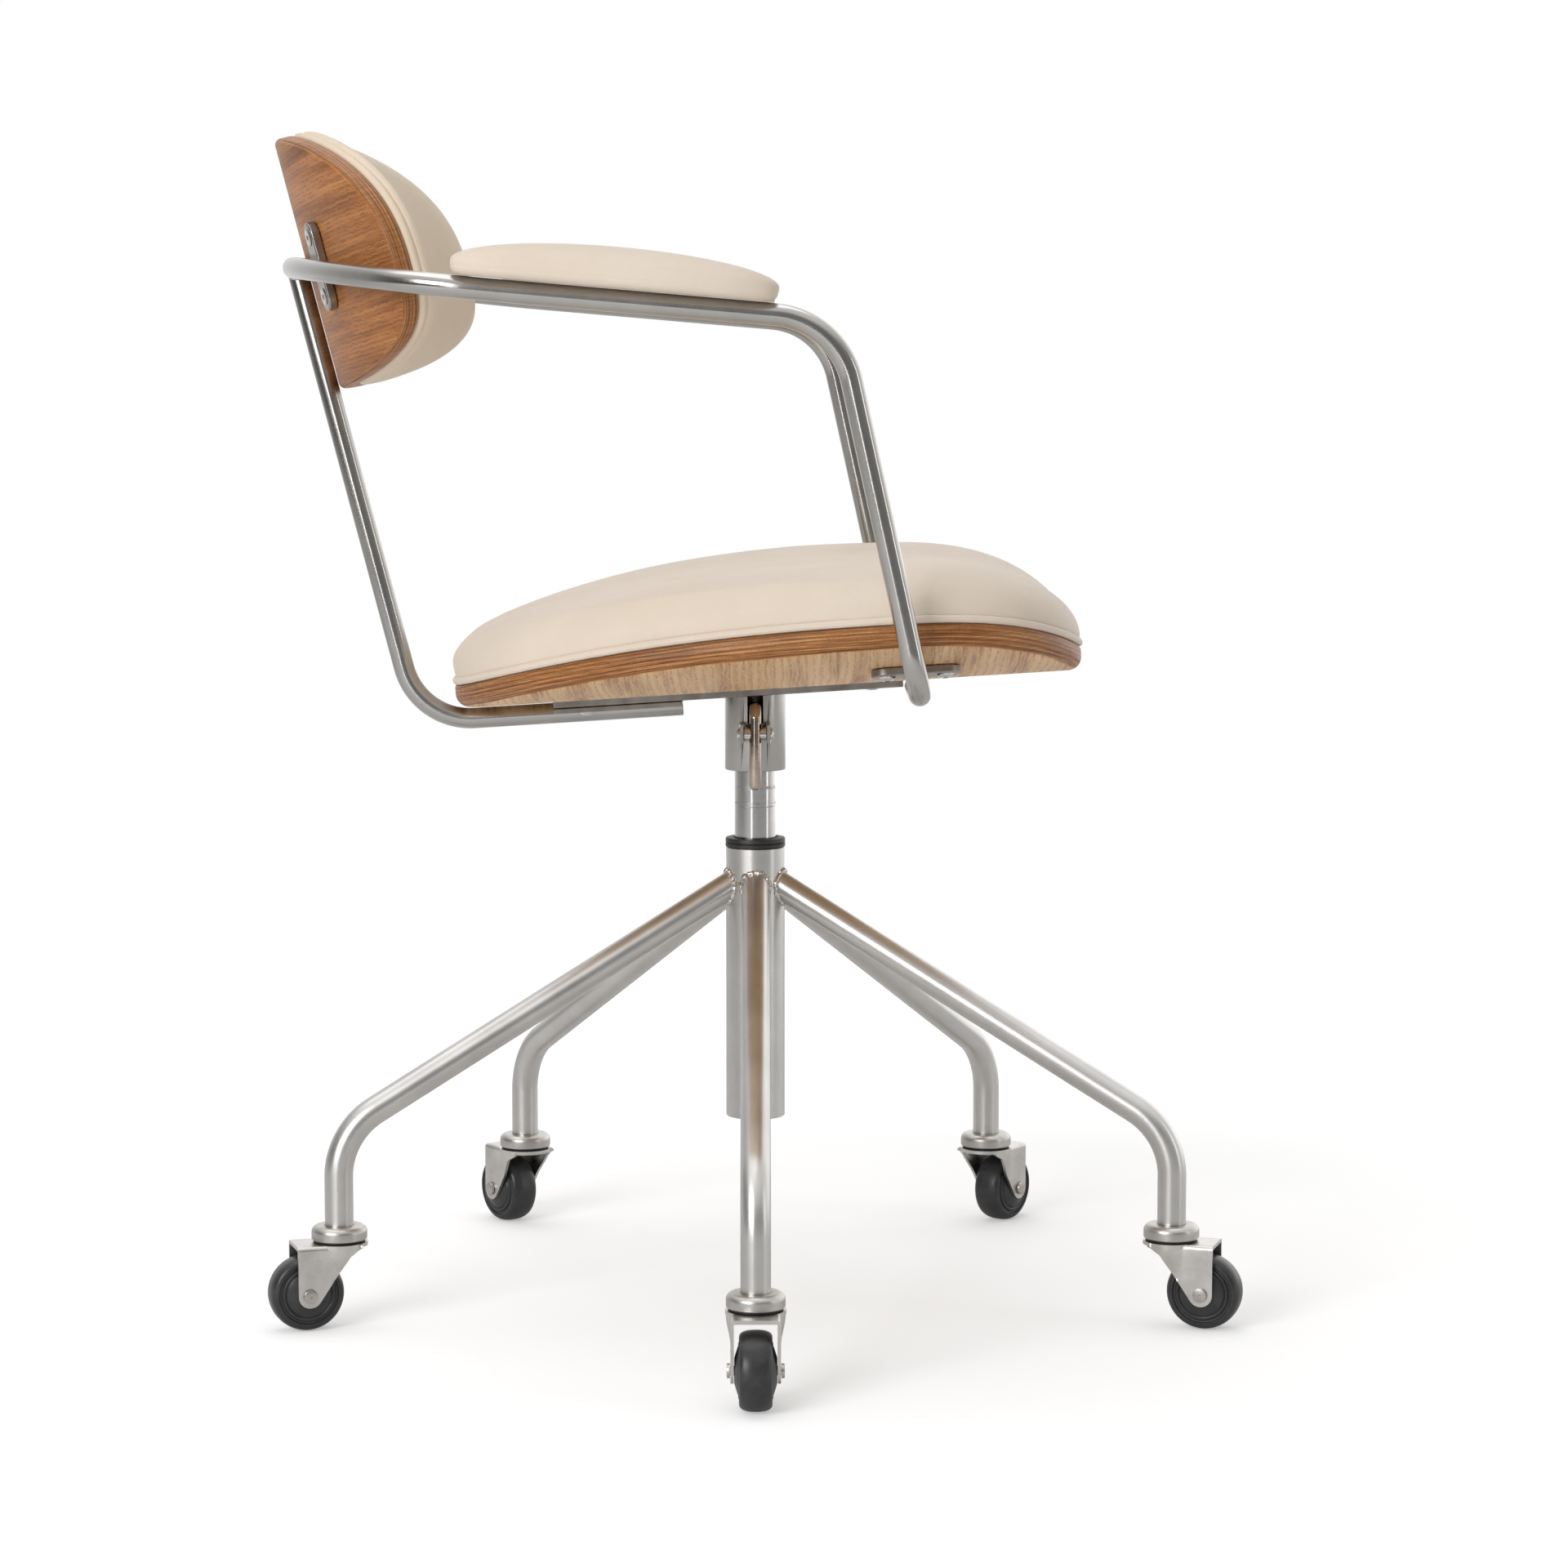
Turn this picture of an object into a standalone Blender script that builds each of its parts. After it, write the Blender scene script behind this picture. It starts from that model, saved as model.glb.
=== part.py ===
# Swivel chair: five-legged tube base on casters, gas lift, bent-rod frame and two padded plywood shells
# Metres, +Z up, floor at z = 0. The sitter faces +X, and the sitter's right arm is at -Y.
import math

import bmesh
import bpy
from mathutils import Euler, Matrix, Vector

# Clearances and edge breaks shared by many pieces
GAP = 0.0003
LEVER_SLACK = 0.0004
WELD_SINK = 0.0005
EDGE_BREAK = 0.001
OVERSHOOT = 0.010

# Gas lift
LIFT_R = 0.0141
LIFT_WALL = 0.0021
LIFT_DOWN = 0.040
LIFT_UP = 0.060
LIFT_SPARE = 0.003
GLAND_T = 0.010
VALVE_BLOCK_T = 0.0185
PISTON_ROD_R = 0.005
PISTON_T = 0.0105
PISTON_SPARE = 0.033
BEARING_W = 0.0062
BEARING_T = 0.006
SHOULDER_W = 0.0035
SHOULDER_T = 0.003
CLIP_W = 0.005
CLIP_T = 0.002
ROD_TAIL = 0.001
VALVE_PIN_R = 0.003
VALVE_PIN_PROUD = 0.0045
VALVE_PIN_L = 0.0135
VALVE_TRAVEL = 0.0025
LIFT_DROP = 0.0167

# Column
BUSH_WALL = 0.0028
COLUMN_WALL = 0.0025
COLUMN_BOTTOM_Z = 0.126
COLUMN_TOP_Z = 0.3113
FLOOR_RECESS = 0.004
FLOOR_T = 0.004
BUSH_FLANGE_T = 0.006
BUSH_OVERHANG = 0.0003
BUSH_SLEEVE_L = 0.049
GRUB_DROP = 0.0106
GRUB_R = 0.0019
GRUB_SOCKET_R = 0.001
GRUB_SOCKET_T = 0.001

# Legs
LEG_COUNT = 5
FIRST_LEG_AZIMUTH = math.radians(-90)
STEM_CIRCLE_R = 0.291
LEG_R = 0.0095
LEG_WALL = 0.002
LEG_SLOPE = math.radians(29.6)
LEG_CORNER_Z = 0.1302
LEG_BEND_R = 0.050

# Casters
WHEEL_R = 0.025
WHEEL_HALF = 0.0103
TREAD_ROUND = 0.003
DISC_RIM = 0.0063
HUB_HALF = 0.0132
HUB_R = 0.009
CASTER_TRAIL = 0.023
AXLE_R = 0.003
AXLE_HEAD_W = 0.0017
AXLE_HEAD_T = 0.002
FORK_PLATE_R = 0.019
FORK_PLATE_T = 0.0025
FORK_CLEARANCE = 0.0055
FORK_CHEEK_T = 0.002
FORK_NOSE_R = 0.008
FORK_CORNER_R = 0.004
FORK_HEEL_X = -0.0125
FORK_SHOULDER_X = -0.004
FORK_SHOULDER_DROP = 0.005
COLLAR_R = 0.0185
COLLAR_T = 0.0095
COLLAR_LIFT = 0.0015
COLLAR_SHOULDER = 0.003
STEM_PIN_R = 0.005
STEM_PLUG_L = 0.029
RIVET_W = 0.003
RIVET_T = 0.002

# Socket and lever
SOCKET_WALL = 0.0061
SOCKET_L = 0.0512
SLOT_W = 0.0105
SLOT_H = 0.0212
EAR_INSIDE = 0.0080
EAR_T = 0.002
EAR_H = 0.013
EAR_EDGE = 0.0055
EAR_ROOT = 0.004
PIVOT_DROP = 0.008
LEVER_R = 0.004
LEVER_SLEEVE_R = 0.0045
LEVER_CLEARANCE = 0.0035
LEVER_HANG = 0.0378
LEVER_BEND_R = 0.007
LEVER_TIP_PAST = 0.004
LEVER_PIN_R = 0.0025
LEVER_PIN_HEAD_W = 0.0012
LEVER_PIN_HEAD_T = 0.002

# Seat bar, rear plate and rear rod
SEAT_TILT = math.radians(3.54)
SEAT_BAR_Z = 0.4152
SEAT_BAR_T = 0.005
SEAT_BAR_W = 0.040
SEAT_BAR_REAR_X = -0.1362
SEAT_BAR_FRONT_X = 0.100
BAR_SCREW_FRONT_EDGE = 0.0205
BAR_SCREW_REAR_EDGE = 0.0222
REAR_PLATE_T = 0.0036
REAR_PLATE_L = 0.087
ROD_R = 0.007
ROD_FLAT_RISE = 0.0004
REAR_ROD_BEND_R = 0.046
REAR_ROD_LEAN = math.radians(14.5)

# Arm loop
ARM_HALF_W = 0.262
ARM_Z = 0.6697
ARM_FALL = 0.0855
ARM_RISE_X = -0.150
ARM_RISE = 0.22
LOOP_REAR_X = -0.3071
LOOP_REAR_R = 0.400
LOOP_CORNER_R = 0.070
LOOP_FRONT_X = 0.0509
LOOP_FRONT_BEND_R = 0.052
FOOT_BEND_R = 0.030
FOOT_PAST_WELD = 0.013

# Seat shell, its cushion and the brackets under it
SEAT_BEND_R = 0.800
SEAT_PLY_T = 0.015
SEAT_SIDE_ROOM = 0.0095
SEAT_WIDEST_X = 0.080
SEAT_FRONT_L = 0.1385
SEAT_REAR_L = 0.2815
SEAT_FRONT_POWER = 2.8
SEAT_REAR_POWER = 2.25
SEAT_UNDER_ROUND = 0.009
SEAT_CROWN = 0.069
SEAT_WALL = 0.0105
SEAT_WALL_SWING = 0.0035
SEAT_RING_SHARES = (1 / 3, 2 / 3, 1)
SIDE_BRACKET_X = 0.1037
SIDE_BRACKET_Y = 0.175
SIDE_BRACKET_L = 0.057
SIDE_BRACKET_W = 0.020
SIDE_BRACKET_T = 0.005
SIDE_SCREW_PITCH = 0.037

# Back shell, its cushion and the brackets behind it
BACK_TILT = math.radians(14.5)
BACK_RISE = 0.005
BACK_BEND_R = 0.345
BACK_PLY_T = 0.012
BACK_SIDE_ROOM = 0.0515
BACK_WIDEST_Z = -0.020
BACK_TOP_L = 0.1065
BACK_LOW_L = 0.063
BACK_TOP_POWER = 2.3
BACK_LOW_POWER = 3.5
BACK_UNDER_ROUND = 0.004
BACK_CROWN = 0.034
BACK_WALL = 0.0095
BACK_RING_SHARES = (1 / 2, 1, 3 / 2)
BACK_BRACKET_Y = 0.120
BACK_BRACKET_Z = -0.0052
BACK_BRACKET_L = 0.058
BACK_BRACKET_W = 0.018
BACK_BRACKET_T = 0.006
BACK_SCREW_PITCH = 0.0387

# Edges shared by both shells and both cushions
PLY_EDGE_ROUND = 0.002
WELT_OUT = 0.0015
WELT_H = 0.0052
WELT_FLAT = 0.4

# Arm pads
PAD_X = -0.086
PAD_HALF_L = 0.1006
PAD_HALF_W = 0.030
PAD_CROWN = 0.025
PAD_WALL = 0.010
PAD_POWER = 2.8
PAD_UNDER_ROUND = 0.003

# Screws
SCREW_R = 0.003
SCREW_HEAD_W = 0.0025
SCREW_HEAD_T = 0.0026
SCREW_DOME = 0.8
SCREW_BITE = 0.009
SCREW_POINT = 0.002
SCREW_POINT_TAPER = 0.6

# Facets round a section, and steps along a curve
ROUND_FACETS = 20
SHAFT_FACETS = 16
ROD_FACETS = 12
SMALL_FACETS = 8
PAD_FACETS = 20
OUTLINE_FACETS = 36
DOME_RINGS = 6
EDGE_STEPS = 3
BEND_STEPS = 6
LEG_BEND_STEPS = 5
REAR_ARC_STEPS = 5
LEVER_BEND_STEPS = 4
PLATE_END_STEPS = 6
FORK_DISC_STEPS = 10
FORK_CORNER_STEPS = 2
FORK_NOSE_STEPS = 5
SMOOTH_ANGLE = math.radians(40)

# Places and radii worked out from the sizes above
COLUMN_BORE_R = LIFT_R + GAP + BUSH_WALL + GAP
COLUMN_R = COLUMN_BORE_R + COLUMN_WALL
COLUMN_FLOOR_Z = COLUMN_BOTTOM_Z + FLOOR_RECESS + FLOOR_T
ROD_BORE_R = PISTON_ROD_R + GAP
BEARING_TOP_Z = COLUMN_FLOOR_Z + GAP + BEARING_T
SHOULDER_Z = BEARING_TOP_Z + GAP
LIFT_BOTTOM_Z = SHOULDER_Z + SHOULDER_T + LIFT_SPARE + LIFT_DOWN
PISTON_TOP_Z = LIFT_BOTTOM_Z + GLAND_T + LIFT_UP + PISTON_SPARE + PISTON_T
LIFT_TOP_Z = SEAT_BAR_Z - LIFT_DROP
LIFT_BORE_R = LIFT_R - LIFT_WALL
SLEEVE_BORE_R = LIFT_R + GAP
VALVE_PIN_TOP_Z = LIFT_TOP_Z + VALVE_PIN_PROUD
VALVE_PIN_BOTTOM_Z = VALVE_PIN_TOP_Z - VALVE_PIN_L
SOCKET_R = SLEEVE_BORE_R + SOCKET_WALL
SOCKET_BOTTOM_Z = SEAT_BAR_Z - SOCKET_L
PIVOT_REACH = SOCKET_R + LEVER_CLEARANCE + LEVER_SLEEVE_R
PIVOT_Z = LIFT_TOP_Z - PIVOT_DROP
FORK_TOP_Z = 2 * WHEEL_R + FORK_CLEARANCE + FORK_PLATE_T
FORK_UNDER_Z = FORK_TOP_Z - FORK_PLATE_T
FORK_INSIDE = HUB_HALF + GAP
FORK_OUTSIDE = FORK_INSIDE + FORK_CHEEK_T
FORK_FRONT_X = CASTER_TRAIL + FORK_NOSE_R
COLLAR_BOTTOM_Z = FORK_TOP_Z + COLLAR_LIFT
COLLAR_TOP_Z = COLLAR_BOTTOM_Z + COLLAR_T
CASTER_REACH = STEM_CIRCLE_R + CASTER_TRAIL + WHEEL_R
FAR_LEG_ANGLE = math.radians(90 - 180 / LEG_COUNT)
FAR_REACH = CASTER_REACH * math.sin(FAR_LEG_ANGLE) + WHEEL_HALF * math.cos(FAR_LEG_ANGLE)
AXIS_Y = (CASTER_REACH - max(FAR_REACH, ARM_HALF_W + PAD_HALF_W)) / 2
REAR_PLATE_Z = -GAP - REAR_PLATE_T
REAR_PLATE_FRONT_X = SEAT_BAR_REAR_X + REAR_PLATE_L
REAR_ROD_Z = REAR_PLATE_Z - GAP - ROD_FLAT_RISE
SEAT_SHELL_Z = SEAT_BAR_T + GAP
SEAT_HALF_W = ARM_HALF_W - ROD_R - SEAT_SIDE_ROOM
SIDE_BRACKET_ANGLE = math.asin(SIDE_BRACKET_Y / SEAT_BEND_R)
SIDE_BRACKET_RING = SIDE_BRACKET_ANGLE * SEAT_BEND_R / SEAT_HALF_W
BACK_HALF_ARC = BACK_BEND_R * math.asin((ARM_HALF_W - BACK_SIDE_ROOM) / BACK_BEND_R)
BACK_BRACKET_ANGLE = math.asin(BACK_BRACKET_Y / BACK_BEND_R)
BACK_BRACKET_RING = BACK_BRACKET_ANGLE * BACK_BEND_R / BACK_HALF_ARC
SCREW_HEAD_R = SCREW_R + SCREW_HEAD_W
BAR_SCREW_REAR_Y = -(ROD_R + SCREW_HEAD_R + EDGE_BREAK)
QUARTER = math.pi / 2


def material(name, color, roughness, metallic):
    """A Principled material with a plain colour."""
    made = bpy.data.materials.new(name)
    made.use_nodes = True
    shader = made.node_tree.nodes["Principled BSDF"]
    shader.inputs["Base Color"].default_value = (*color, 1.0)
    shader.inputs["Roughness"].default_value = roughness
    shader.inputs["Metallic"].default_value = metallic
    return made


def add_object(name, data, parent, location, rotation):
    """An object set in its parent's frame."""
    made = bpy.data.objects.new(name, data)
    made.location = location
    made.rotation_euler = rotation
    made.parent = parent
    bpy.context.collection.objects.link(made)
    return made


def empty(name, location=(0, 0, 0), rotation=(0, 0, 0), parent=None):
    """An axis or frame that pieces hang from."""
    return add_object(name, None, parent, location, rotation)


def piece(name, data, finish, parent, location=(0, 0, 0), rotation=(0, 0, 0)):
    """One named sub-part."""
    made = add_object(name, data, parent, location, rotation)
    if not data.materials:
        data.materials.append(finish)
    return made


def guide(name, data, parent, location=(0, 0, 0), rotation=(0, 0, 0)):
    """A shape that only cuts or joins another piece."""
    made = add_object(name, data, parent, location, rotation)
    made.hide_render = True
    made.display_type = "WIRE"
    return made


def combine(target, other, operation):
    """Cut the target with another shape, or join the two."""
    step = target.modifiers.new(other.name, "BOOLEAN")
    step.operation = operation
    step.object = other


def mesh(name, points, faces):
    """A closed mesh with its faces turned out and its curved sides smooth."""
    made = bpy.data.meshes.new(name)
    made.from_pydata([tuple(point) for point in points], [], faces)
    work = bmesh.new()
    work.from_mesh(made)
    bmesh.ops.recalc_face_normals(work, faces=work.faces)
    work.to_mesh(made)
    work.free()
    made.shade_smooth()
    made.set_sharp_from_angle(angle=SMOOTH_ANGLE)
    return made


def band(low, high, split=False):
    """Faces between two rings. A ring of one point closes to a tip, and a split band has triangles."""
    if len(low) == 1:
        return [(low[0], high[i], high[i - 1]) for i in range(len(high))]
    if len(high) == 1:
        return [(high[0], low[i - 1], low[i]) for i in range(len(low))]
    faces = []
    for i, first in enumerate(low):
        j = (i + 1) % len(low)
        if split:
            faces.append((first, low[j], high[j]))
            faces.append((first, high[j], high[i]))
        else:
            faces.append((first, low[j], high[j], high[i]))
    return faces


def rings_mesh(name, rings, split=False, ring_shaped=False):
    """A body from rings that run from end to end, or round and back to the first.

    Two bent sheets that lie on each other are split, so that both bend along the same lines.
    """
    points = []
    loops = []
    for ring in rings:
        loops.append(list(range(len(points), len(points) + len(ring))))
        points.extend(ring)
    faces = []
    for low, high in zip(loops, loops[1:]):
        faces.extend(band(low, high, split))
    if ring_shaped:
        faces.extend(band(loops[-1], loops[0], split))
    else:
        faces.extend(tuple(loop) for loop in (loops[0], loops[-1]) if len(loop) > 1)
    return mesh(name, points, faces)


def circle(radius, height, facets):
    """One ring about Z, or a single point where the radius is 0."""
    if radius == 0:
        return [(0, 0, height)]
    angles = [2 * math.pi * (i + 0.5) / facets for i in range(facets)]
    return [(radius * math.cos(a), radius * math.sin(a), height) for a in angles]


def turned(name, profile, facets=ROUND_FACETS):
    """A profile of (radius, height) points turned about Z. A profile off the axis makes a ring."""
    rings = [circle(radius, height, facets) for radius, height in profile]
    return rings_mesh(name, rings, ring_shaped=profile[0][0] > 0)


def rod(name, radius, low, high, facets=SMALL_FACETS):
    """A plain round bar about Z."""
    return turned(name, [(0, low), (radius, low), (radius, high), (0, high)], facets)


def both_ways(profile):
    """A profile and its mirror image, for a turned piece that is the same at both ends."""
    return [(radius, -height) for radius, height in profile[::-1]] + profile


def extruded(name, outline, low, high):
    """An outline of (x, y) points with thickness along Z."""
    return rings_mesh(name, [[(x, y, z) for x, y in outline] for z in (low, high)])


def box(name, low, high):
    """A block between two corners."""
    outline = [(low[0], low[1]), (high[0], low[1]), (high[0], high[1]), (low[0], high[1])]
    return extruded(name, outline, low[2], high[2])


def arc(centre, radius, start, end, steps):
    """Points along an arc in a plane, angles in radians."""
    angles = [start + (end - start) * i / steps for i in range(steps + 1)]
    return [(centre[0] + radius * math.cos(a), centre[1] + radius * math.sin(a)) for a in angles]


def stadium(length, width):
    """A plate outline with two round ends, long along X."""
    offset = (length - width) / 2
    front = arc((offset, 0), width / 2, -QUARTER, QUARTER, PLATE_END_STEPS)
    rear = arc((-offset, 0), width / 2, QUARTER, 3 * QUARTER, PLATE_END_STEPS)
    return front + rear


def rounded_path(corners, radii, steps):
    """A path through corners, each inner one rounded to its radius."""
    corners = [Vector(corner) for corner in corners]
    made = [corners[0]]
    for before, corner, after, radius in zip(corners, corners[1:], corners[2:], radii):
        back = (before - corner).normalized()
        ahead = (after - corner).normalized()
        half = back.angle(ahead) / 2
        centre = corner + (back + ahead).normalized() * (radius / math.sin(half))
        spoke = corner + back * (radius / math.tan(half)) - centre
        axis = back.cross(ahead).normalized()
        for i in range(steps + 1):
            turn = Matrix.Rotation((2 * half - math.pi) * i / steps, 3, axis)
            made.append(centre + turn @ spoke)
    made.append(corners[-1])
    return made


def path_rings(path, radius, facets):
    """Rings square to a path, carried along it without twist."""
    ahead = (path[1] - path[0]).normalized()
    side = ahead.orthogonal().normalized()
    rings = []
    for i, point in enumerate(path):
        before = (point - path[i - 1]).normalized() if i else ahead
        after = (path[i + 1] - point).normalized() if i + 1 < len(path) else before
        along = (before + after).normalized()
        side = (side - along * side.dot(along)).normalized()
        up = along.cross(side)
        angles = [2 * math.pi * k / facets for k in range(facets)]
        rings.append([point + (side * math.cos(a) + up * math.sin(a)) * radius for a in angles])
    return rings


def rounded_outline(lengths, half_width, powers, centre, scale, inset, facets):
    """Points (along, across, angle) of a rounded outline, fuller where its power is higher."""
    made = []
    for i in range(facets):
        angle = 2 * math.pi * i / facets
        end = 0 if math.cos(angle) >= 0 else 1
        length = lengths[end] * scale - inset
        width = half_width * scale - inset
        along = math.copysign(abs(math.cos(angle)) ** (2 / powers[end]) * length, math.cos(angle))
        across = math.copysign(abs(math.sin(angle)) ** (2 / powers[end]) * width, math.sin(angle))
        made.append((centre + along, across, angle))
    return made


def seat_point(along, across, depth):
    """A point of the seat's bent sheet, depth measured up from its underside."""
    angle = across / SEAT_BEND_R
    radius = SEAT_BEND_R - depth
    height = SEAT_SHELL_Z + SEAT_BEND_R - radius * math.cos(angle)
    return (along, radius * math.sin(angle), height)


def seat_ring(scale, inset, depth):
    """One ring of the seat's outline. Its depth may follow the angle round the outline."""
    outline = rounded_outline((SEAT_FRONT_L, SEAT_REAR_L), SEAT_HALF_W,
                              (SEAT_FRONT_POWER, SEAT_REAR_POWER), SEAT_WIDEST_X,
                              scale, inset, OUTLINE_FACETS)
    return [seat_point(along, across, depth(angle)) for along, across, angle in outline]


def seat_centre(depth):
    return seat_point(SEAT_WIDEST_X, 0, depth)


def back_point(along, across, depth):
    """A point of the back's bent sheet, depth measured forward from its rear face."""
    angle = across / BACK_BEND_R
    radius = BACK_BEND_R - depth
    return (BACK_BEND_R - radius * math.cos(angle), radius * math.sin(angle), along)


def back_ring(scale, inset, depth):
    """One ring of the back's outline."""
    outline = rounded_outline((BACK_TOP_L, BACK_LOW_L), BACK_HALF_ARC,
                              (BACK_TOP_POWER, BACK_LOW_POWER), BACK_WIDEST_Z,
                              scale, inset, OUTLINE_FACETS)
    return [back_point(along, across, depth(angle)) for along, across, angle in outline]


def back_centre(depth):
    return back_point(BACK_WIDEST_Z, 0, depth)


def constant(value):
    """A depth that is the same all round."""
    return lambda angle: value


def seat_wall(angle):
    """The seat cushion's side wall, lower at the front than at the rear."""
    return SEAT_WALL - SEAT_WALL_SWING * math.cos(angle)


def ply_shell(name, ring, centre, inner, thickness, under_round):
    """A bent ply sheet with a slightly broken upper edge and a rounded lower edge."""
    rings = [[centre(thickness)]]
    rings += [ring(scale, 0, constant(thickness)) for scale in inner]
    rings.append(ring(1, PLY_EDGE_ROUND, constant(thickness)))
    rings.append(ring(1, 0, constant(thickness - PLY_EDGE_ROUND)))
    for i in range(EDGE_STEPS + 1):
        turn = QUARTER * i / EDGE_STEPS
        inset = under_round * (1 - math.cos(turn))
        rings.append(ring(1, inset, constant(under_round * (1 - math.sin(turn)))))
    rings += [ring(scale, 0, constant(0)) for scale in inner[::-1]]
    rings.append([centre(0)])
    return rings_mesh(name, rings, split=True)


def domed_cushion(name, ring, centre, inner, base, crown, wall):
    """A cushion with a welt round its foot, a low side wall and an elliptical crown."""
    welt_low = WELT_H * (1 - WELT_FLAT) / 2
    rings = [[centre(base)]]
    rings += [ring(scale, 0, constant(base)) for scale in inner]
    rings.append(ring(1, PLY_EDGE_ROUND, constant(base)))
    rings.append(ring(1, -WELT_OUT, constant(base + welt_low)))
    rings.append(ring(1, -WELT_OUT, constant(base + WELT_H - welt_low)))
    rings.append(ring(1, 0, constant(base + WELT_H)))
    for i in range(DOME_RINGS):
        turn = QUARTER * i / DOME_RINGS

        def depth(angle, share=math.sin(turn)):
            return base + wall(angle) + (crown - wall(angle)) * share

        rings.append(ring(math.cos(turn), 0, depth))
    rings.append([centre(base + crown)])
    return rings_mesh(name, rings, split=True)


def domed_screw(name, grip):
    """A domed screw. Its head sits under z = 0, and its shank runs up through what it grips."""
    tip = grip + SCREW_BITE
    return turned(name, [
        (0, tip),
        (SCREW_R * SCREW_POINT_TAPER, tip),
        (SCREW_R, tip - SCREW_POINT),
        (SCREW_R, -GAP),
        (SCREW_HEAD_R, -GAP),
        (SCREW_HEAD_R * SCREW_DOME, -GAP - SCREW_HEAD_T * SCREW_DOME),
        (0, -GAP - SCREW_HEAD_T)], SMALL_FACETS)


def domed_screw_hole(name, grip):
    """The room that a domed screw's shank needs."""
    return rod(name, SCREW_R + GAP, -EDGE_BREAK, grip + SCREW_BITE + GAP)


def flush_screw(name, grip):
    """A countersunk screw whose head ends level with z = 0."""
    tip = grip + SCREW_BITE
    return turned(name, [
        (0, tip),
        (SCREW_R * SCREW_POINT_TAPER, tip),
        (SCREW_R, tip - SCREW_POINT),
        (SCREW_R, SCREW_HEAD_W),
        (SCREW_HEAD_R, 0),
        (0, 0)], SMALL_FACETS)


def flush_screw_hole(name, grip):
    """The room that a countersunk screw needs."""
    return turned(name, [
        (0, grip + SCREW_BITE + GAP),
        (SCREW_R + GAP, grip + SCREW_BITE + GAP),
        (SCREW_R + GAP, SCREW_HEAD_W),
        (SCREW_HEAD_R + GAP, 0),
        (SCREW_HEAD_R + GAP, -EDGE_BREAK),
        (0, -EDGE_BREAK)], SMALL_FACETS)


def make_column(axis, steel, black):
    """The column tube with its floor, the bush at its top and the grub screw that holds the bush."""
    floor_hole_r = PISTON_ROD_R + 2 * GAP
    column = piece("base_column", turned("base_column", [
        (floor_hole_r, COLUMN_FLOOR_Z - FLOOR_T),
        (COLUMN_BORE_R, COLUMN_FLOOR_Z - FLOOR_T),
        (COLUMN_BORE_R, COLUMN_BOTTOM_Z),
        (COLUMN_R, COLUMN_BOTTOM_Z),
        (COLUMN_R, COLUMN_TOP_Z),
        (COLUMN_BORE_R, COLUMN_TOP_Z),
        (COLUMN_BORE_R, COLUMN_FLOOR_Z),
        (floor_hole_r, COLUMN_FLOOR_Z)]), steel, axis)
    sleeve_r = COLUMN_BORE_R - GAP
    flange_r = COLUMN_R + BUSH_OVERHANG
    flange_z = COLUMN_TOP_Z + GAP
    flange_top = flange_z + BUSH_FLANGE_T
    piece("column_bush", turned("column_bush", [
        (SLEEVE_BORE_R, flange_z - BUSH_SLEEVE_L),
        (sleeve_r, flange_z - BUSH_SLEEVE_L),
        (sleeve_r, flange_z),
        (flange_r, flange_z),
        (flange_r, flange_top - EDGE_BREAK),
        (flange_r - EDGE_BREAK, flange_top),
        (SLEEVE_BORE_R, flange_top)]), black, axis)
    grub_place = (-COLUMN_BORE_R, 0, COLUMN_TOP_Z - GRUB_DROP)
    grub_turn = (0, -QUARTER, 0)
    grub_end = COLUMN_WALL - 2 * GAP
    hole = guide("grub_hole", rod("grub_hole", GRUB_R + GAP, -COLUMN_WALL, 2 * COLUMN_WALL), axis,
                 grub_place, grub_turn)
    combine(column, hole, "DIFFERENCE")
    piece("bush_screw", turned("bush_screw", [
        (0, 0),
        (GRUB_R, 0),
        (GRUB_R, grub_end),
        (GRUB_SOCKET_R, grub_end),
        (GRUB_SOCKET_R, grub_end - GRUB_SOCKET_T),
        (0, grub_end - GRUB_SOCKET_T)], SMALL_FACETS), steel, axis, grub_place, grub_turn)


def make_bearing(axis, steel):
    """The ring on the column's floor that the lift turns on."""
    piece("thrust_bearing", turned("thrust_bearing", [
        (ROD_BORE_R, COLUMN_FLOOR_Z + GAP),
        (ROD_BORE_R + BEARING_W, COLUMN_FLOOR_Z + GAP),
        (ROD_BORE_R + BEARING_W, BEARING_TOP_Z),
        (ROD_BORE_R, BEARING_TOP_Z)]), steel, axis)


def meet_column(ring):
    """Slide the points of a leg's first ring along the leg until they meet the column."""
    ahead = Vector((math.cos(LEG_SLOPE), 0, -math.sin(LEG_SLOPE)))
    radius = COLUMN_R + GAP
    return [p + ahead * ((math.sqrt(radius ** 2 - p.y ** 2) - p.x) / ahead.x) for p in ring]


def leg_mesh():
    """A bent tube from the column out and down to its caster's collar, along +X."""
    root_z = LEG_CORNER_Z + math.tan(LEG_SLOPE) * (STEM_CIRCLE_R - COLUMN_R)
    path = rounded_path([(COLUMN_R, 0, root_z), (STEM_CIRCLE_R, 0, LEG_CORNER_Z),
                         (STEM_CIRCLE_R, 0, COLLAR_TOP_Z + GAP)], [LEG_BEND_R], LEG_BEND_STEPS)
    outer = path_rings(path, LEG_R, ROD_FACETS)
    inner = path_rings(path, LEG_R - LEG_WALL, ROD_FACETS)
    outer[0] = meet_column(outer[0])
    inner[0] = meet_column(inner[0])
    return rings_mesh("leg", outer + inner[::-1], ring_shaped=True)


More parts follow.
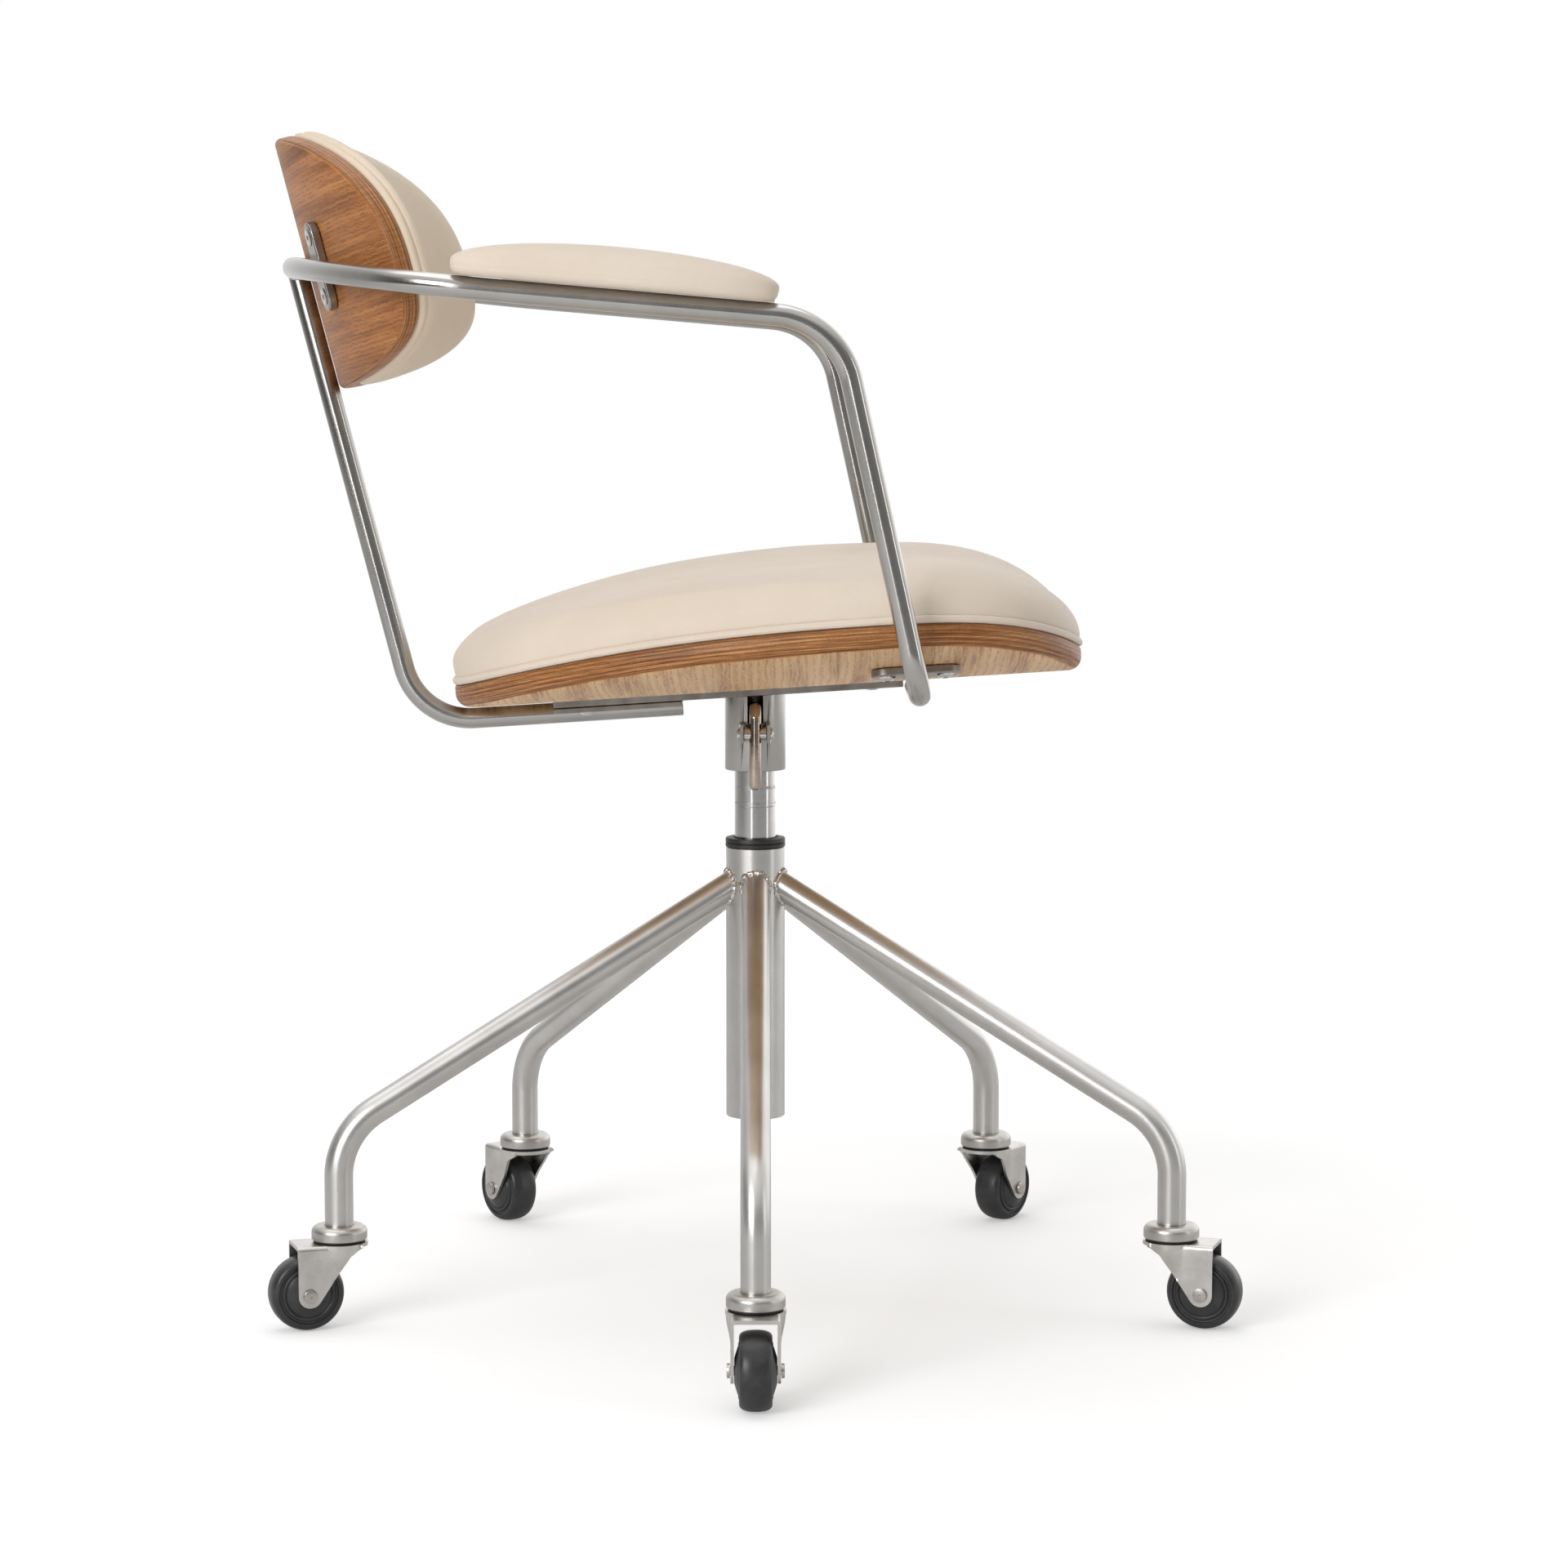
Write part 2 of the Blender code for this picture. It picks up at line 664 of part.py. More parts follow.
def stem_mesh():
    """The rivet head under the fork, the pin, the round collar and the plug in the leg."""
    rivet_top = FORK_UNDER_Z - GAP
    rivet_r = STEM_PIN_R + RIVET_W
    plug_r = LEG_R - LEG_WALL - GAP
    return turned("caster_stem", [
        (0, rivet_top - RIVET_T),
        (rivet_r - EDGE_BREAK, rivet_top - RIVET_T),
        (rivet_r, rivet_top - RIVET_T + EDGE_BREAK),
        (rivet_r, rivet_top),
        (STEM_PIN_R, rivet_top),
        (STEM_PIN_R, COLLAR_BOTTOM_Z),
        (COLLAR_R - EDGE_BREAK, COLLAR_BOTTOM_Z),
        (COLLAR_R, COLLAR_BOTTOM_Z + COLLAR_SHOULDER),
        (COLLAR_R, COLLAR_TOP_Z - COLLAR_SHOULDER),
        (COLLAR_R - COLLAR_SHOULDER, COLLAR_TOP_Z),
        (plug_r, COLLAR_TOP_Z),
        (plug_r, COLLAR_TOP_Z + STEM_PLUG_L),
        (0, COLLAR_TOP_Z + STEM_PLUG_L)], SHAFT_FACETS)


def wheel_mesh():
    """A wheel whose tread has flat facets, one of them level on the floor."""
    tread_r = WHEEL_R / math.cos(math.pi / ROUND_FACETS)
    return turned("caster_wheel", both_ways([
        (AXLE_R + GAP, HUB_HALF),
        (HUB_R, HUB_HALF),
        (WHEEL_R - DISC_RIM, WHEEL_HALF),
        (tread_r - TREAD_ROUND, WHEEL_HALF),
        (tread_r, WHEEL_HALF - TREAD_ROUND)][::-1]))


def axle_mesh():
    """The axle with a riveted head outside each cheek of the fork."""
    inside = FORK_OUTSIDE + GAP
    head_r = AXLE_R + AXLE_HEAD_W
    return turned("caster_axle", both_ways([
        (AXLE_R, inside),
        (head_r, inside),
        (head_r, inside + AXLE_HEAD_T),
        (0, inside + AXLE_HEAD_T)]), SMALL_FACETS)


def fork_plate_outline():
    """The fork's top seen from above: a disc at the stem and a tongue over the wheel."""
    join = math.acos(FORK_OUTSIDE / FORK_PLATE_R)
    corner_x = FORK_FRONT_X - FORK_CORNER_R
    corner_y = FORK_OUTSIDE - FORK_CORNER_R
    disc = arc((0, 0), FORK_PLATE_R, QUARTER - join, 3 * QUARTER + join, FORK_DISC_STEPS)
    right = arc((corner_x, -corner_y), FORK_CORNER_R, -QUARTER, 0, FORK_CORNER_STEPS)
    left = arc((corner_x, corner_y), FORK_CORNER_R, 0, QUARTER, FORK_CORNER_STEPS)
    return disc + right + left


def cheek_outline():
    """A fork cheek seen from the side: down to a round nose at the axle and back up."""
    top_z = FORK_TOP_Z - FORK_PLATE_T / 2
    shoulder = Vector((FORK_SHOULDER_X, FORK_UNDER_Z - FORK_SHOULDER_DROP))
    axle = Vector((CASTER_TRAIL, WHEEL_R))
    to_axle = axle - shoulder
    lean = math.atan2(to_axle.y, to_axle.x)
    tangent = lean - QUARTER - math.asin(FORK_NOSE_R / to_axle.length)
    nose = arc(axle, FORK_NOSE_R, tangent, 0, FORK_NOSE_STEPS)
    return [(FORK_HEEL_X, top_z), (FORK_HEEL_X, FORK_UNDER_Z), tuple(shoulder)] + nose + [
        (FORK_FRONT_X, top_z)]


def fork_mesh():
    """The fork's plate and two cheeks joined, with holes for stem and axle."""
    plate = guide("fork_plate", extruded("fork_plate", fork_plate_outline(), FORK_UNDER_Z,
                                         FORK_TOP_Z), None)
    tools = []
    for side in (-1, 1):
        name = "fork_cheek_" + str(side)
        sides = sorted((side * FORK_INSIDE, side * FORK_OUTSIDE))
        cheek = rings_mesh(name, [[(x, y, z) for x, z in cheek_outline()] for y in sides])
        tools.append(guide(name, cheek, None))
        combine(plate, tools[-1], "UNION")
    stem_hole = rod("stem_hole", STEM_PIN_R + GAP, -OVERSHOOT, OVERSHOOT, SHAFT_FACETS)
    tools.append(guide("stem_hole", stem_hole, None, (0, 0, FORK_TOP_Z)))
    combine(plate, tools[-1], "DIFFERENCE")
    hole_end = FORK_OUTSIDE + OVERSHOOT
    axle_hole = rod("axle_hole", AXLE_R + GAP, -hole_end, hole_end)
    tools.append(guide("axle_hole", axle_hole, None, (CASTER_TRAIL, 0, WHEEL_R), (QUARTER, 0, 0)))
    combine(plate, tools[-1], "DIFFERENCE")
    bpy.context.view_layer.update()
    graph = bpy.context.evaluated_depsgraph_get()
    made = bpy.data.meshes.new_from_object(plate.evaluated_get(graph))
    made.name = "caster_fork"
    for part in [plate] + tools:
        bpy.data.objects.remove(part)
    return made


def make_legs_and_casters(axis, steel, bright, tread):
    """Each leg and caster, from one mesh per kind of piece."""
    leg, stem, fork, pin, wheel = leg_mesh(), stem_mesh(), fork_mesh(), axle_mesh(), wheel_mesh()
    axle_place = (CASTER_TRAIL, 0, WHEEL_R)
    axle_turn = (QUARTER, 0, 0)
    for k in range(LEG_COUNT):
        number = str(k + 1)
        azimuth = FIRST_LEG_AZIMUTH + 2 * math.pi * k / LEG_COUNT
        place = (STEM_CIRCLE_R * math.cos(azimuth), STEM_CIRCLE_R * math.sin(azimuth), 0)
        turn = (0, 0, azimuth)
        piece("leg_" + number, leg, steel, axis, rotation=turn)
        piece("caster_stem_" + number, stem, steel, axis, place, turn)
        caster_axis = empty("caster_axis_" + number, place, turn, axis)
        piece("caster_fork_" + number, fork, steel, caster_axis)
        piece("caster_axle_" + number, pin, bright, caster_axis, axle_place, axle_turn)
        piece("caster_wheel_" + number, wheel, tread, caster_axis, axle_place, axle_turn)


def make_piston(axis, steel, bright):
    """The piston rod, which turns on the bearing, and the clip that holds it under the floor."""
    clip_top = COLUMN_FLOOR_Z - FLOOR_T - GAP
    piston_r = LIFT_BORE_R - GAP
    shoulder_r = PISTON_ROD_R + SHOULDER_W
    rod_bottom = clip_top - CLIP_T - ROD_TAIL
    piece("piston_rod", turned("piston_rod", [
        (0, rod_bottom),
        (PISTON_ROD_R, rod_bottom),
        (PISTON_ROD_R, SHOULDER_Z),
        (shoulder_r, SHOULDER_Z),
        (shoulder_r, SHOULDER_Z + SHOULDER_T),
        (PISTON_ROD_R, SHOULDER_Z + SHOULDER_T),
        (PISTON_ROD_R, PISTON_TOP_Z - PISTON_T),
        (piston_r, PISTON_TOP_Z - PISTON_T),
        (piston_r, PISTON_TOP_Z),
        (0, PISTON_TOP_Z)], SHAFT_FACETS), bright, axis)
    piece("retaining_clip", turned("retaining_clip", [
        (ROD_BORE_R, clip_top - CLIP_T),
        (PISTON_ROD_R + CLIP_W, clip_top - CLIP_T),
        (PISTON_ROD_R + CLIP_W, clip_top),
        (ROD_BORE_R, clip_top)], SHAFT_FACETS), steel, axis)


def make_cylinder(axis, bright):
    """The lift's cylinder, with its gland below and its valve block and pin above."""
    pin_hole_r = VALVE_PIN_R + GAP
    pin_hole_z = VALVE_PIN_BOTTOM_Z - VALVE_TRAVEL - 2 * GAP
    piece("lift_cylinder", turned("lift_cylinder", [
        (0, pin_hole_z),
        (pin_hole_r, pin_hole_z),
        (pin_hole_r, LIFT_TOP_Z),
        (LIFT_R - EDGE_BREAK, LIFT_TOP_Z),
        (LIFT_R, LIFT_TOP_Z - EDGE_BREAK),
        (LIFT_R, LIFT_BOTTOM_Z),
        (ROD_BORE_R, LIFT_BOTTOM_Z),
        (ROD_BORE_R, LIFT_BOTTOM_Z + GLAND_T),
        (LIFT_BORE_R, LIFT_BOTTOM_Z + GLAND_T),
        (LIFT_BORE_R, LIFT_TOP_Z - VALVE_BLOCK_T),
        (0, LIFT_TOP_Z - VALVE_BLOCK_T)]), bright, axis)
    release_axis = empty("release_axis", parent=axis)
    piece("release_pin", rod("release_pin", VALVE_PIN_R, VALVE_PIN_BOTTOM_Z, VALVE_PIN_TOP_Z),
          bright, release_axis)


def socket_mesh():
    """The socket's sleeve, its top cut to the seat bar's slope."""

    def slope_ring(radius):
        ring = circle(radius, 0, ROUND_FACETS)
        return [(x, y, SEAT_BAR_Z + math.tan(SEAT_TILT) * x - GAP) for x, y, _ in ring]

    return rings_mesh("lift_socket", [
        circle(SLEEVE_BORE_R, SOCKET_BOTTOM_Z, ROUND_FACETS),
        circle(SOCKET_R - EDGE_BREAK, SOCKET_BOTTOM_Z, ROUND_FACETS),
        circle(SOCKET_R, SOCKET_BOTTOM_Z + EDGE_BREAK, ROUND_FACETS),
        slope_ring(SOCKET_R),
        slope_ring(SLEEVE_BORE_R)], ring_shaped=True)


def make_socket(axis, steel):
    """The socket with two ears and a slot for the lever. Returns the hole through the ears."""
    socket = piece("lift_socket", socket_mesh(), steel, axis)
    ear_low = PIVOT_Z - EAR_H / 2
    for side, name in ((-1, "right"), (1, "left")):
        near, far = sorted((side * EAR_INSIDE, side * (EAR_INSIDE + EAR_T)))
        shape = box("ear_" + name, (near, -PIVOT_REACH - EAR_EDGE, ear_low),
                    (far, -SOCKET_R + EAR_ROOT, ear_low + EAR_H))
        combine(socket, guide("ear_" + name, shape, axis), "UNION")
    shape = box("lever_slot", (-SLOT_W / 2, -SOCKET_R - OVERSHOOT, SEAT_BAR_Z - SLOT_H),
                (SLOT_W / 2, 0, SEAT_BAR_Z + OVERSHOOT))
    combine(socket, guide("lever_slot", shape, axis), "DIFFERENCE")
    hole_end = EAR_INSIDE + EAR_T + OVERSHOOT
    hole = guide("pivot_hole", rod("pivot_hole", LEVER_PIN_R + GAP, -hole_end, hole_end), axis,
                 (0, -PIVOT_REACH, PIVOT_Z), (0, QUARTER, 0))
    combine(socket, hole, "DIFFERENCE")
    return hole


def make_lever(axis, pivot_hole, bright):
    """The lever, a bent rod with a cross sleeve that hangs on its pin, and the pin."""
    pivot = (0, -PIVOT_REACH, PIVOT_Z)
    lever_axis = empty("lever_axis", pivot, parent=axis)
    arm_z = VALVE_PIN_TOP_Z + LEVER_SLACK + LEVER_R - PIVOT_Z
    path = rounded_path([(0, 0, -LEVER_HANG), (0, 0, arm_z),
                         (0, PIVOT_REACH + LEVER_TIP_PAST, arm_z)], [LEVER_BEND_R],
                        LEVER_BEND_STEPS)
    rings = path_rings(path, LEVER_R, SMALL_FACETS)
    foot = path_rings(path[:2], LEVER_R - EDGE_BREAK, SMALL_FACETS)[0]
    rings[0] = [point + Vector((0, 0, EDGE_BREAK)) for point in rings[0]]
    lever = piece("lift_lever", rings_mesh("lift_lever", [foot] + rings), bright, lever_axis)
    half = EAR_INSIDE - GAP
    sleeve = guide("lever_sleeve", rod("lever_sleeve", LEVER_SLEEVE_R, -half, half, ROD_FACETS),
                   lever_axis, rotation=(0, QUARTER, 0))
    combine(lever, sleeve, "UNION")
    combine(lever, pivot_hole, "DIFFERENCE")
    head_at = EAR_INSIDE + EAR_T + GAP
    head_r = LEVER_PIN_R + LEVER_PIN_HEAD_W
    piece("lever_pin", turned("lever_pin", both_ways([
        (LEVER_PIN_R, head_at),
        (head_r, head_at),
        (head_r, head_at + LEVER_PIN_HEAD_T),
        (0, head_at + LEVER_PIN_HEAD_T)]), SMALL_FACETS), bright, axis, pivot, (0, QUARTER, 0))


def make_bar(frame, steel):
    """The flat seat bar and the plate under its rear end."""
    half = SEAT_BAR_W / 2
    bar = piece("seat_bar", box("seat_bar", (SEAT_BAR_REAR_X, -half, 0),
                                (SEAT_BAR_FRONT_X, half, SEAT_BAR_T)), steel, frame)
    plate = piece("rear_plate", box("rear_plate", (SEAT_BAR_REAR_X, -half, REAR_PLATE_Z),
                                    (REAR_PLATE_FRONT_X, half, -GAP)), steel, frame)
    return bar, plate


def arm_height(x):
    """Height of the loop's centre line, which falls to the front and lifts at the rear."""
    return ARM_Z - ARM_FALL * x + ARM_RISE * max(0.0, ARM_RISE_X - x) ** 2


def on_loop(y):
    """The loop's centre line at the back, at a distance y from the middle."""
    x = LOOP_REAR_X + LOOP_REAR_R - math.sqrt(LOOP_REAR_R ** 2 - y ** 2)
    return Vector((x, y, arm_height(x)))


def loop_plan():
    """The right half of the loop seen from above, from the arm to the middle of the back."""
    centre_x = LOOP_REAR_X + LOOP_REAR_R
    corner_y = ARM_HALF_W - LOOP_CORNER_R
    reach = LOOP_REAR_R - LOOP_CORNER_R
    corner_x = centre_x - math.sqrt(reach ** 2 - corner_y ** 2)
    meet = math.asin(corner_y / reach) - math.pi
    straight = [(ARM_RISE_X, -ARM_HALF_W), ((ARM_RISE_X + corner_x) / 2, -ARM_HALF_W)]
    corner = arc((corner_x, -corner_y), LOOP_CORNER_R, -QUARTER, meet, BEND_STEPS)
    rear = arc((centre_x, 0), LOOP_REAR_R, meet, -math.pi, REAR_ARC_STEPS)
    return straight + corner + rear[1:]


def loop_path(foot_weld):
    """The loop from the right foot round the back to the left foot."""
    foot_z = foot_weld.z - ROD_R - WELD_SINK
    plan = [Vector((x, y, arm_height(x))) for x, y in loop_plan()]
    front = (LOOP_FRONT_X, -ARM_HALF_W, arm_height(LOOP_FRONT_X))
    right = rounded_path([(foot_weld.x, foot_weld.y + FOOT_PAST_WELD, foot_z),
                          (foot_weld.x, -ARM_HALF_W, foot_z), front, plan[0]],
                         [FOOT_BEND_R, LOOP_FRONT_BEND_R], BEND_STEPS)
    right += plan[1:]
    left = [Vector((point.x, -point.y, point.z)) for point in right[-2::-1]]
    return right + left


def bracket_place(ring_radius, turn, centre_z):
    """Where a bracket's inner face touches the seat's bent sheet."""
    return (SIDE_BRACKET_X, ring_radius * math.sin(turn), centre_z - ring_radius * math.cos(turn))


def make_brackets(name, outline, size, places, finish, loop):
    """Right and left bracket plates, and the flats that they make on the loop."""
    length, width, thickness = size
    bite = width / 2 + GAP
    flat = box(name + "_bite", (-length / 2, -bite, -thickness - GAP),
               (length / 2, bite, OVERSHOOT / 2))
    made = {}
    for side, frame in places.items():
        plate = extruded(name, outline, -thickness, 0)
        made[side] = piece(name + "_" + side, plate, finish, frame)
        combine(loop, guide(name + "_bite_" + side, flat, frame), "DIFFERENCE")
    return made


def make_rear_rod(axis, frame, to_chair, loop_middle, steel):
    """The rod from the rear plate back and up to the middle of the loop."""
    top = loop_middle[1]
    line_z = SEAT_BAR_Z + REAR_ROD_Z / math.cos(SEAT_TILT)
    fall = math.tan(REAR_ROD_LEAN)
    rise = math.tan(SEAT_TILT)
    corner_x = (top.x + fall * (top.z - line_z)) / (1 + fall * rise)
    front = to_chair @ Vector((REAR_PLATE_FRONT_X, 0, REAR_ROD_Z))
    path = rounded_path([top, (corner_x, 0, line_z + rise * corner_x), front], [REAR_ROD_BEND_R],
                        BEND_STEPS)
    rear_rod = piece("rear_rod", rings_mesh("rear_rod", path_rings(path, ROD_R, ROD_FACETS)),
                     steel, axis)
    bite = rings_mesh("loop_bite", path_rings(loop_middle, ROD_R + GAP, ROUND_FACETS))
    combine(rear_rod, guide("loop_bite", bite, axis), "DIFFERENCE")
    flat = box("rod_flat", (SEAT_BAR_REAR_X - GAP, -OVERSHOOT, REAR_ROD_Z + ROD_FLAT_RISE),
               (REAR_PLATE_FRONT_X + OVERSHOOT, OVERSHOOT, OVERSHOOT))
    combine(rear_rod, guide("rod_flat", flat, frame), "DIFFERENCE")


def make_seat(frame, oak, leather):
    """The seat's shell and cushion."""
    inner = [SIDE_BRACKET_RING * share for share in SEAT_RING_SHARES]
    shell = piece("seat_shell", ply_shell("seat_shell", seat_ring, seat_centre, inner, SEAT_PLY_T,
                                          SEAT_UNDER_ROUND), oak, frame)
    piece("seat_cushion", domed_cushion("seat_cushion", seat_ring, seat_centre, inner,
                                        SEAT_PLY_T + GAP, SEAT_CROWN, seat_wall), leather, frame)
    return shell


def make_back(frame, oak, leather):
    """The back's shell and cushion."""
    inner = [BACK_BRACKET_RING * share for share in BACK_RING_SHARES]
    shell = piece("back_shell", ply_shell("back_shell", back_ring, back_centre, inner, BACK_PLY_T,
                                          BACK_UNDER_ROUND), oak, frame)
    piece("back_cushion", domed_cushion("back_cushion", back_ring, back_centre, inner,
                                        BACK_PLY_T + GAP, BACK_CROWN, constant(BACK_WALL)),
          leather, frame)
    return shell


def back_frame_place():
    """Where the back stands, so that its brackets just fill the space between shell and loop."""
    radius = BACK_BEND_R + GAP + BACK_BRACKET_T - WELD_SINK + ROD_R
    touch = on_loop(-radius * math.sin(BACK_BRACKET_ANGLE))
    depth = BACK_BEND_R - radius * math.cos(BACK_BRACKET_ANGLE)
    forward = Vector((math.cos(BACK_TILT), 0, math.sin(BACK_TILT)))
    up = Vector((-math.sin(BACK_TILT), 0, math.cos(BACK_TILT)))
    return Vector((touch.x, 0, touch.z)) - forward * depth + up * BACK_RISE


def add_screw(name, screw, hole, frame, place, targets, finish):
    """A screw in a frame, and its hole in each piece that it goes through."""
    piece(name, screw, finish, frame, place)
    room = guide(name + "_hole", hole, frame, place)
    for target in targets:
        combine(target, room, "DIFFERENCE")


def make_pads(axis, leather):
    """The two arm pads, flat below and domed above, each on its arm."""

    def ring(scale, inset, height):
        outline = rounded_outline((PAD_HALF_L, PAD_HALF_L), PAD_HALF_W, (PAD_POWER, PAD_POWER), 0,
                                  scale, inset, PAD_FACETS)
        return [(x, y, height) for x, y, _ in outline]

    rings = [[(0, 0, 0)], ring(1, PAD_UNDER_ROUND, 0), ring(1, 0, PAD_UNDER_ROUND),
             ring(1, 0, PAD_WALL)]
    for i in range(1, DOME_RINGS):
        turn = QUARTER * i / DOME_RINGS
        height = PAD_WALL + (PAD_CROWN - PAD_WALL) * math.sin(turn)
        rings.append(ring(math.cos(turn), 0, height))
    rings.append([(0, 0, PAD_CROWN)])
    pad = rings_mesh("arm_pad", rings)
    lean = math.atan(ARM_FALL)
    rear_x = PAD_X - PAD_HALF_L
    rear_lift = arm_height(rear_x) - ARM_Z + ARM_FALL * rear_x
    height = ARM_Z - ARM_FALL * PAD_X + (ROD_R + GAP) / math.cos(lean) + rear_lift
    for side, name in ((-1, "right"), (1, "left")):
        piece("arm_pad_" + name, pad, leather, axis, (PAD_X, side * ARM_HALF_W, height),
              (0, lean, 0))


def make_chair():
    steel = material("brushed_stainless", (0.62, 0.61, 0.59), 0.32, 1.0)
    bright = material("bright_chrome", (0.75, 0.75, 0.76), 0.12, 1.0)
    black = material("black_plastic", (0.02, 0.02, 0.022), 0.45, 0.0)
    tread = material("dark_tread", (0.045, 0.045, 0.048), 0.4, 0.0)
    oak = material("bent_oak_ply", (0.42, 0.23, 0.11), 0.45, 0.0)
    leather = material("cream_leather", (0.78, 0.68, 0.55), 0.5, 0.0)

    # Base, then what turns on it, then what rises with the seat
    base_axis = empty("base_axis", (0, AXIS_Y, 0))
    swivel_axis = empty("swivel_axis", parent=base_axis)
    lift_axis = empty("lift_axis", parent=swivel_axis)
    seat_frame = empty("seat_frame", (0, 0, SEAT_BAR_Z), (0, -SEAT_TILT, 0), lift_axis)
    make_column(base_axis, steel, black)
    make_bearing(base_axis, steel)
    make_legs_and_casters(base_axis, steel, bright, tread)
    make_piston(swivel_axis, steel, bright)
    make_cylinder(lift_axis, bright)
    pivot_hole = make_socket(lift_axis, steel)
    make_lever(lift_axis, pivot_hole, bright)
    bar, plate = make_bar(seat_frame, steel)

    # Loop, from where its feet meet the side brackets
    to_chair = Matrix.LocRotScale((0, 0, SEAT_BAR_Z), Euler((0, -SEAT_TILT, 0)), None)
    bend_z = SEAT_SHELL_Z + SEAT_BEND_R
    weld_r = SEAT_BEND_R + GAP + SIDE_BRACKET_T
    foot_weld = to_chair @ Vector(bracket_place(weld_r, -SIDE_BRACKET_ANGLE, bend_z))
    path = loop_path(foot_weld)
    loop = piece("arm_loop", rings_mesh("arm_loop", path_rings(path, ROD_R, ROD_FACETS)), steel,
                 lift_axis)
    middle = len(path) // 2
    make_rear_rod(lift_axis, seat_frame, to_chair, path[middle - 1:middle + 2], steel)
    seat_shell = make_seat(seat_frame, oak, leather)
    back_frame = empty("back_frame", back_frame_place(), (0, -BACK_TILT, 0), lift_axis)
    back_shell = make_back(back_frame, oak, leather)
    make_pads(lift_axis, leather)

    # Brackets
    seat_places = {}
    back_places = {}
    for side, name in ((-1, "right"), (1, "left")):
        turn = side * SIDE_BRACKET_ANGLE
        place = bracket_place(SEAT_BEND_R + GAP, turn, bend_z)
        seat_places[name] = empty("side_bracket_frame_" + name, place, (turn, 0, 0), seat_frame)
        turn = side * BACK_BRACKET_ANGLE
        radius = BACK_BEND_R + GAP
        place = (BACK_BEND_R - radius * math.cos(turn), radius * math.sin(turn), BACK_BRACKET_Z)
        back_places[name] = empty("back_bracket_frame_" + name, place, (0, QUARTER, -turn),
                                  back_frame)
    side_brackets = make_brackets(
        "side_bracket", stadium(SIDE_BRACKET_L, SIDE_BRACKET_W),
        (SIDE_BRACKET_L, SIDE_BRACKET_W, SIDE_BRACKET_T), seat_places, steel, loop)
    back_brackets = make_brackets(
        "back_bracket", stadium(BACK_BRACKET_L, BACK_BRACKET_W),
        (BACK_BRACKET_L, BACK_BRACKET_W, BACK_BRACKET_T), back_places, steel, loop)

    # Screws: two in each bracket and two in the seat bar
    side_screw = domed_screw("side_screw", SIDE_BRACKET_T)
    side_hole = domed_screw_hole("side_screw_hole", SIDE_BRACKET_T)
    for name, bracket in side_brackets.items():
        for end, offset in (("front", SIDE_SCREW_PITCH / 2), ("rear", -SIDE_SCREW_PITCH / 2)):
            add_screw("side_screw_" + name + "_" + end, side_screw, side_hole, seat_places[name],
                      (offset, 0, -SIDE_BRACKET_T), [bracket, seat_shell], bright)
    back_screw = flush_screw("back_screw", BACK_BRACKET_T)
    back_hole = flush_screw_hole("back_screw_hole", BACK_BRACKET_T)
    for name, bracket in back_brackets.items():
        for end, offset in (("top", -BACK_SCREW_PITCH / 2), ("low", BACK_SCREW_PITCH / 2)):
            add_screw("back_screw_" + name + "_" + end, back_screw, back_hole, back_places[name],
                      (offset, 0, -BACK_BRACKET_T), [bracket, back_shell], bright)
    front_x = SEAT_BAR_FRONT_X - BAR_SCREW_FRONT_EDGE
    add_screw("bar_screw_front", domed_screw("bar_screw_front", SEAT_BAR_T),
              domed_screw_hole("bar_hole_front", SEAT_BAR_T), seat_frame, (front_x, 0, 0),
              [bar, seat_shell], bright)
    rear_x = SEAT_BAR_REAR_X + BAR_SCREW_REAR_EDGE
    grip = SEAT_BAR_T - REAR_PLATE_Z
    add_screw("bar_screw_rear", domed_screw("bar_screw_rear", grip),
              domed_screw_hole("bar_hole_rear", grip), seat_frame,
              (rear_x, BAR_SCREW_REAR_Y, REAR_PLATE_Z), [bar, plate, seat_shell], bright)


for old in list(bpy.data.objects):
    bpy.data.objects.remove(old)
make_chair()
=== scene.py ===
# Swivel chair: leather upholstery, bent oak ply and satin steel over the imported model
import math
import random
from types import SimpleNamespace

import bmesh
import bpy
import numpy as np
from mathutils import Euler, Matrix, Vector


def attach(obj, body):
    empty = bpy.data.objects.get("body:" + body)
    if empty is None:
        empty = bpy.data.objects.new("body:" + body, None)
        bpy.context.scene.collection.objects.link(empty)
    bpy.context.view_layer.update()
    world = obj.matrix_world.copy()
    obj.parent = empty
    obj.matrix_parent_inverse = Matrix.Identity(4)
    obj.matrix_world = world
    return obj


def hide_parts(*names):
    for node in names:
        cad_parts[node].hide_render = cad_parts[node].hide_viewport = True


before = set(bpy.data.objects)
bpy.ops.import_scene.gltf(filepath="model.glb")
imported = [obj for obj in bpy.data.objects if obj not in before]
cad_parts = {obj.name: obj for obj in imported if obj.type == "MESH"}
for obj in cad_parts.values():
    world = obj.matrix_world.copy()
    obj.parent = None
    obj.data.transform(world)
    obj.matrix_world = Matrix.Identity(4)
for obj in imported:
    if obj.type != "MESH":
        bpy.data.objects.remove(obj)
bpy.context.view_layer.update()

TURN = 2 * math.pi
QUARTER = math.pi / 2

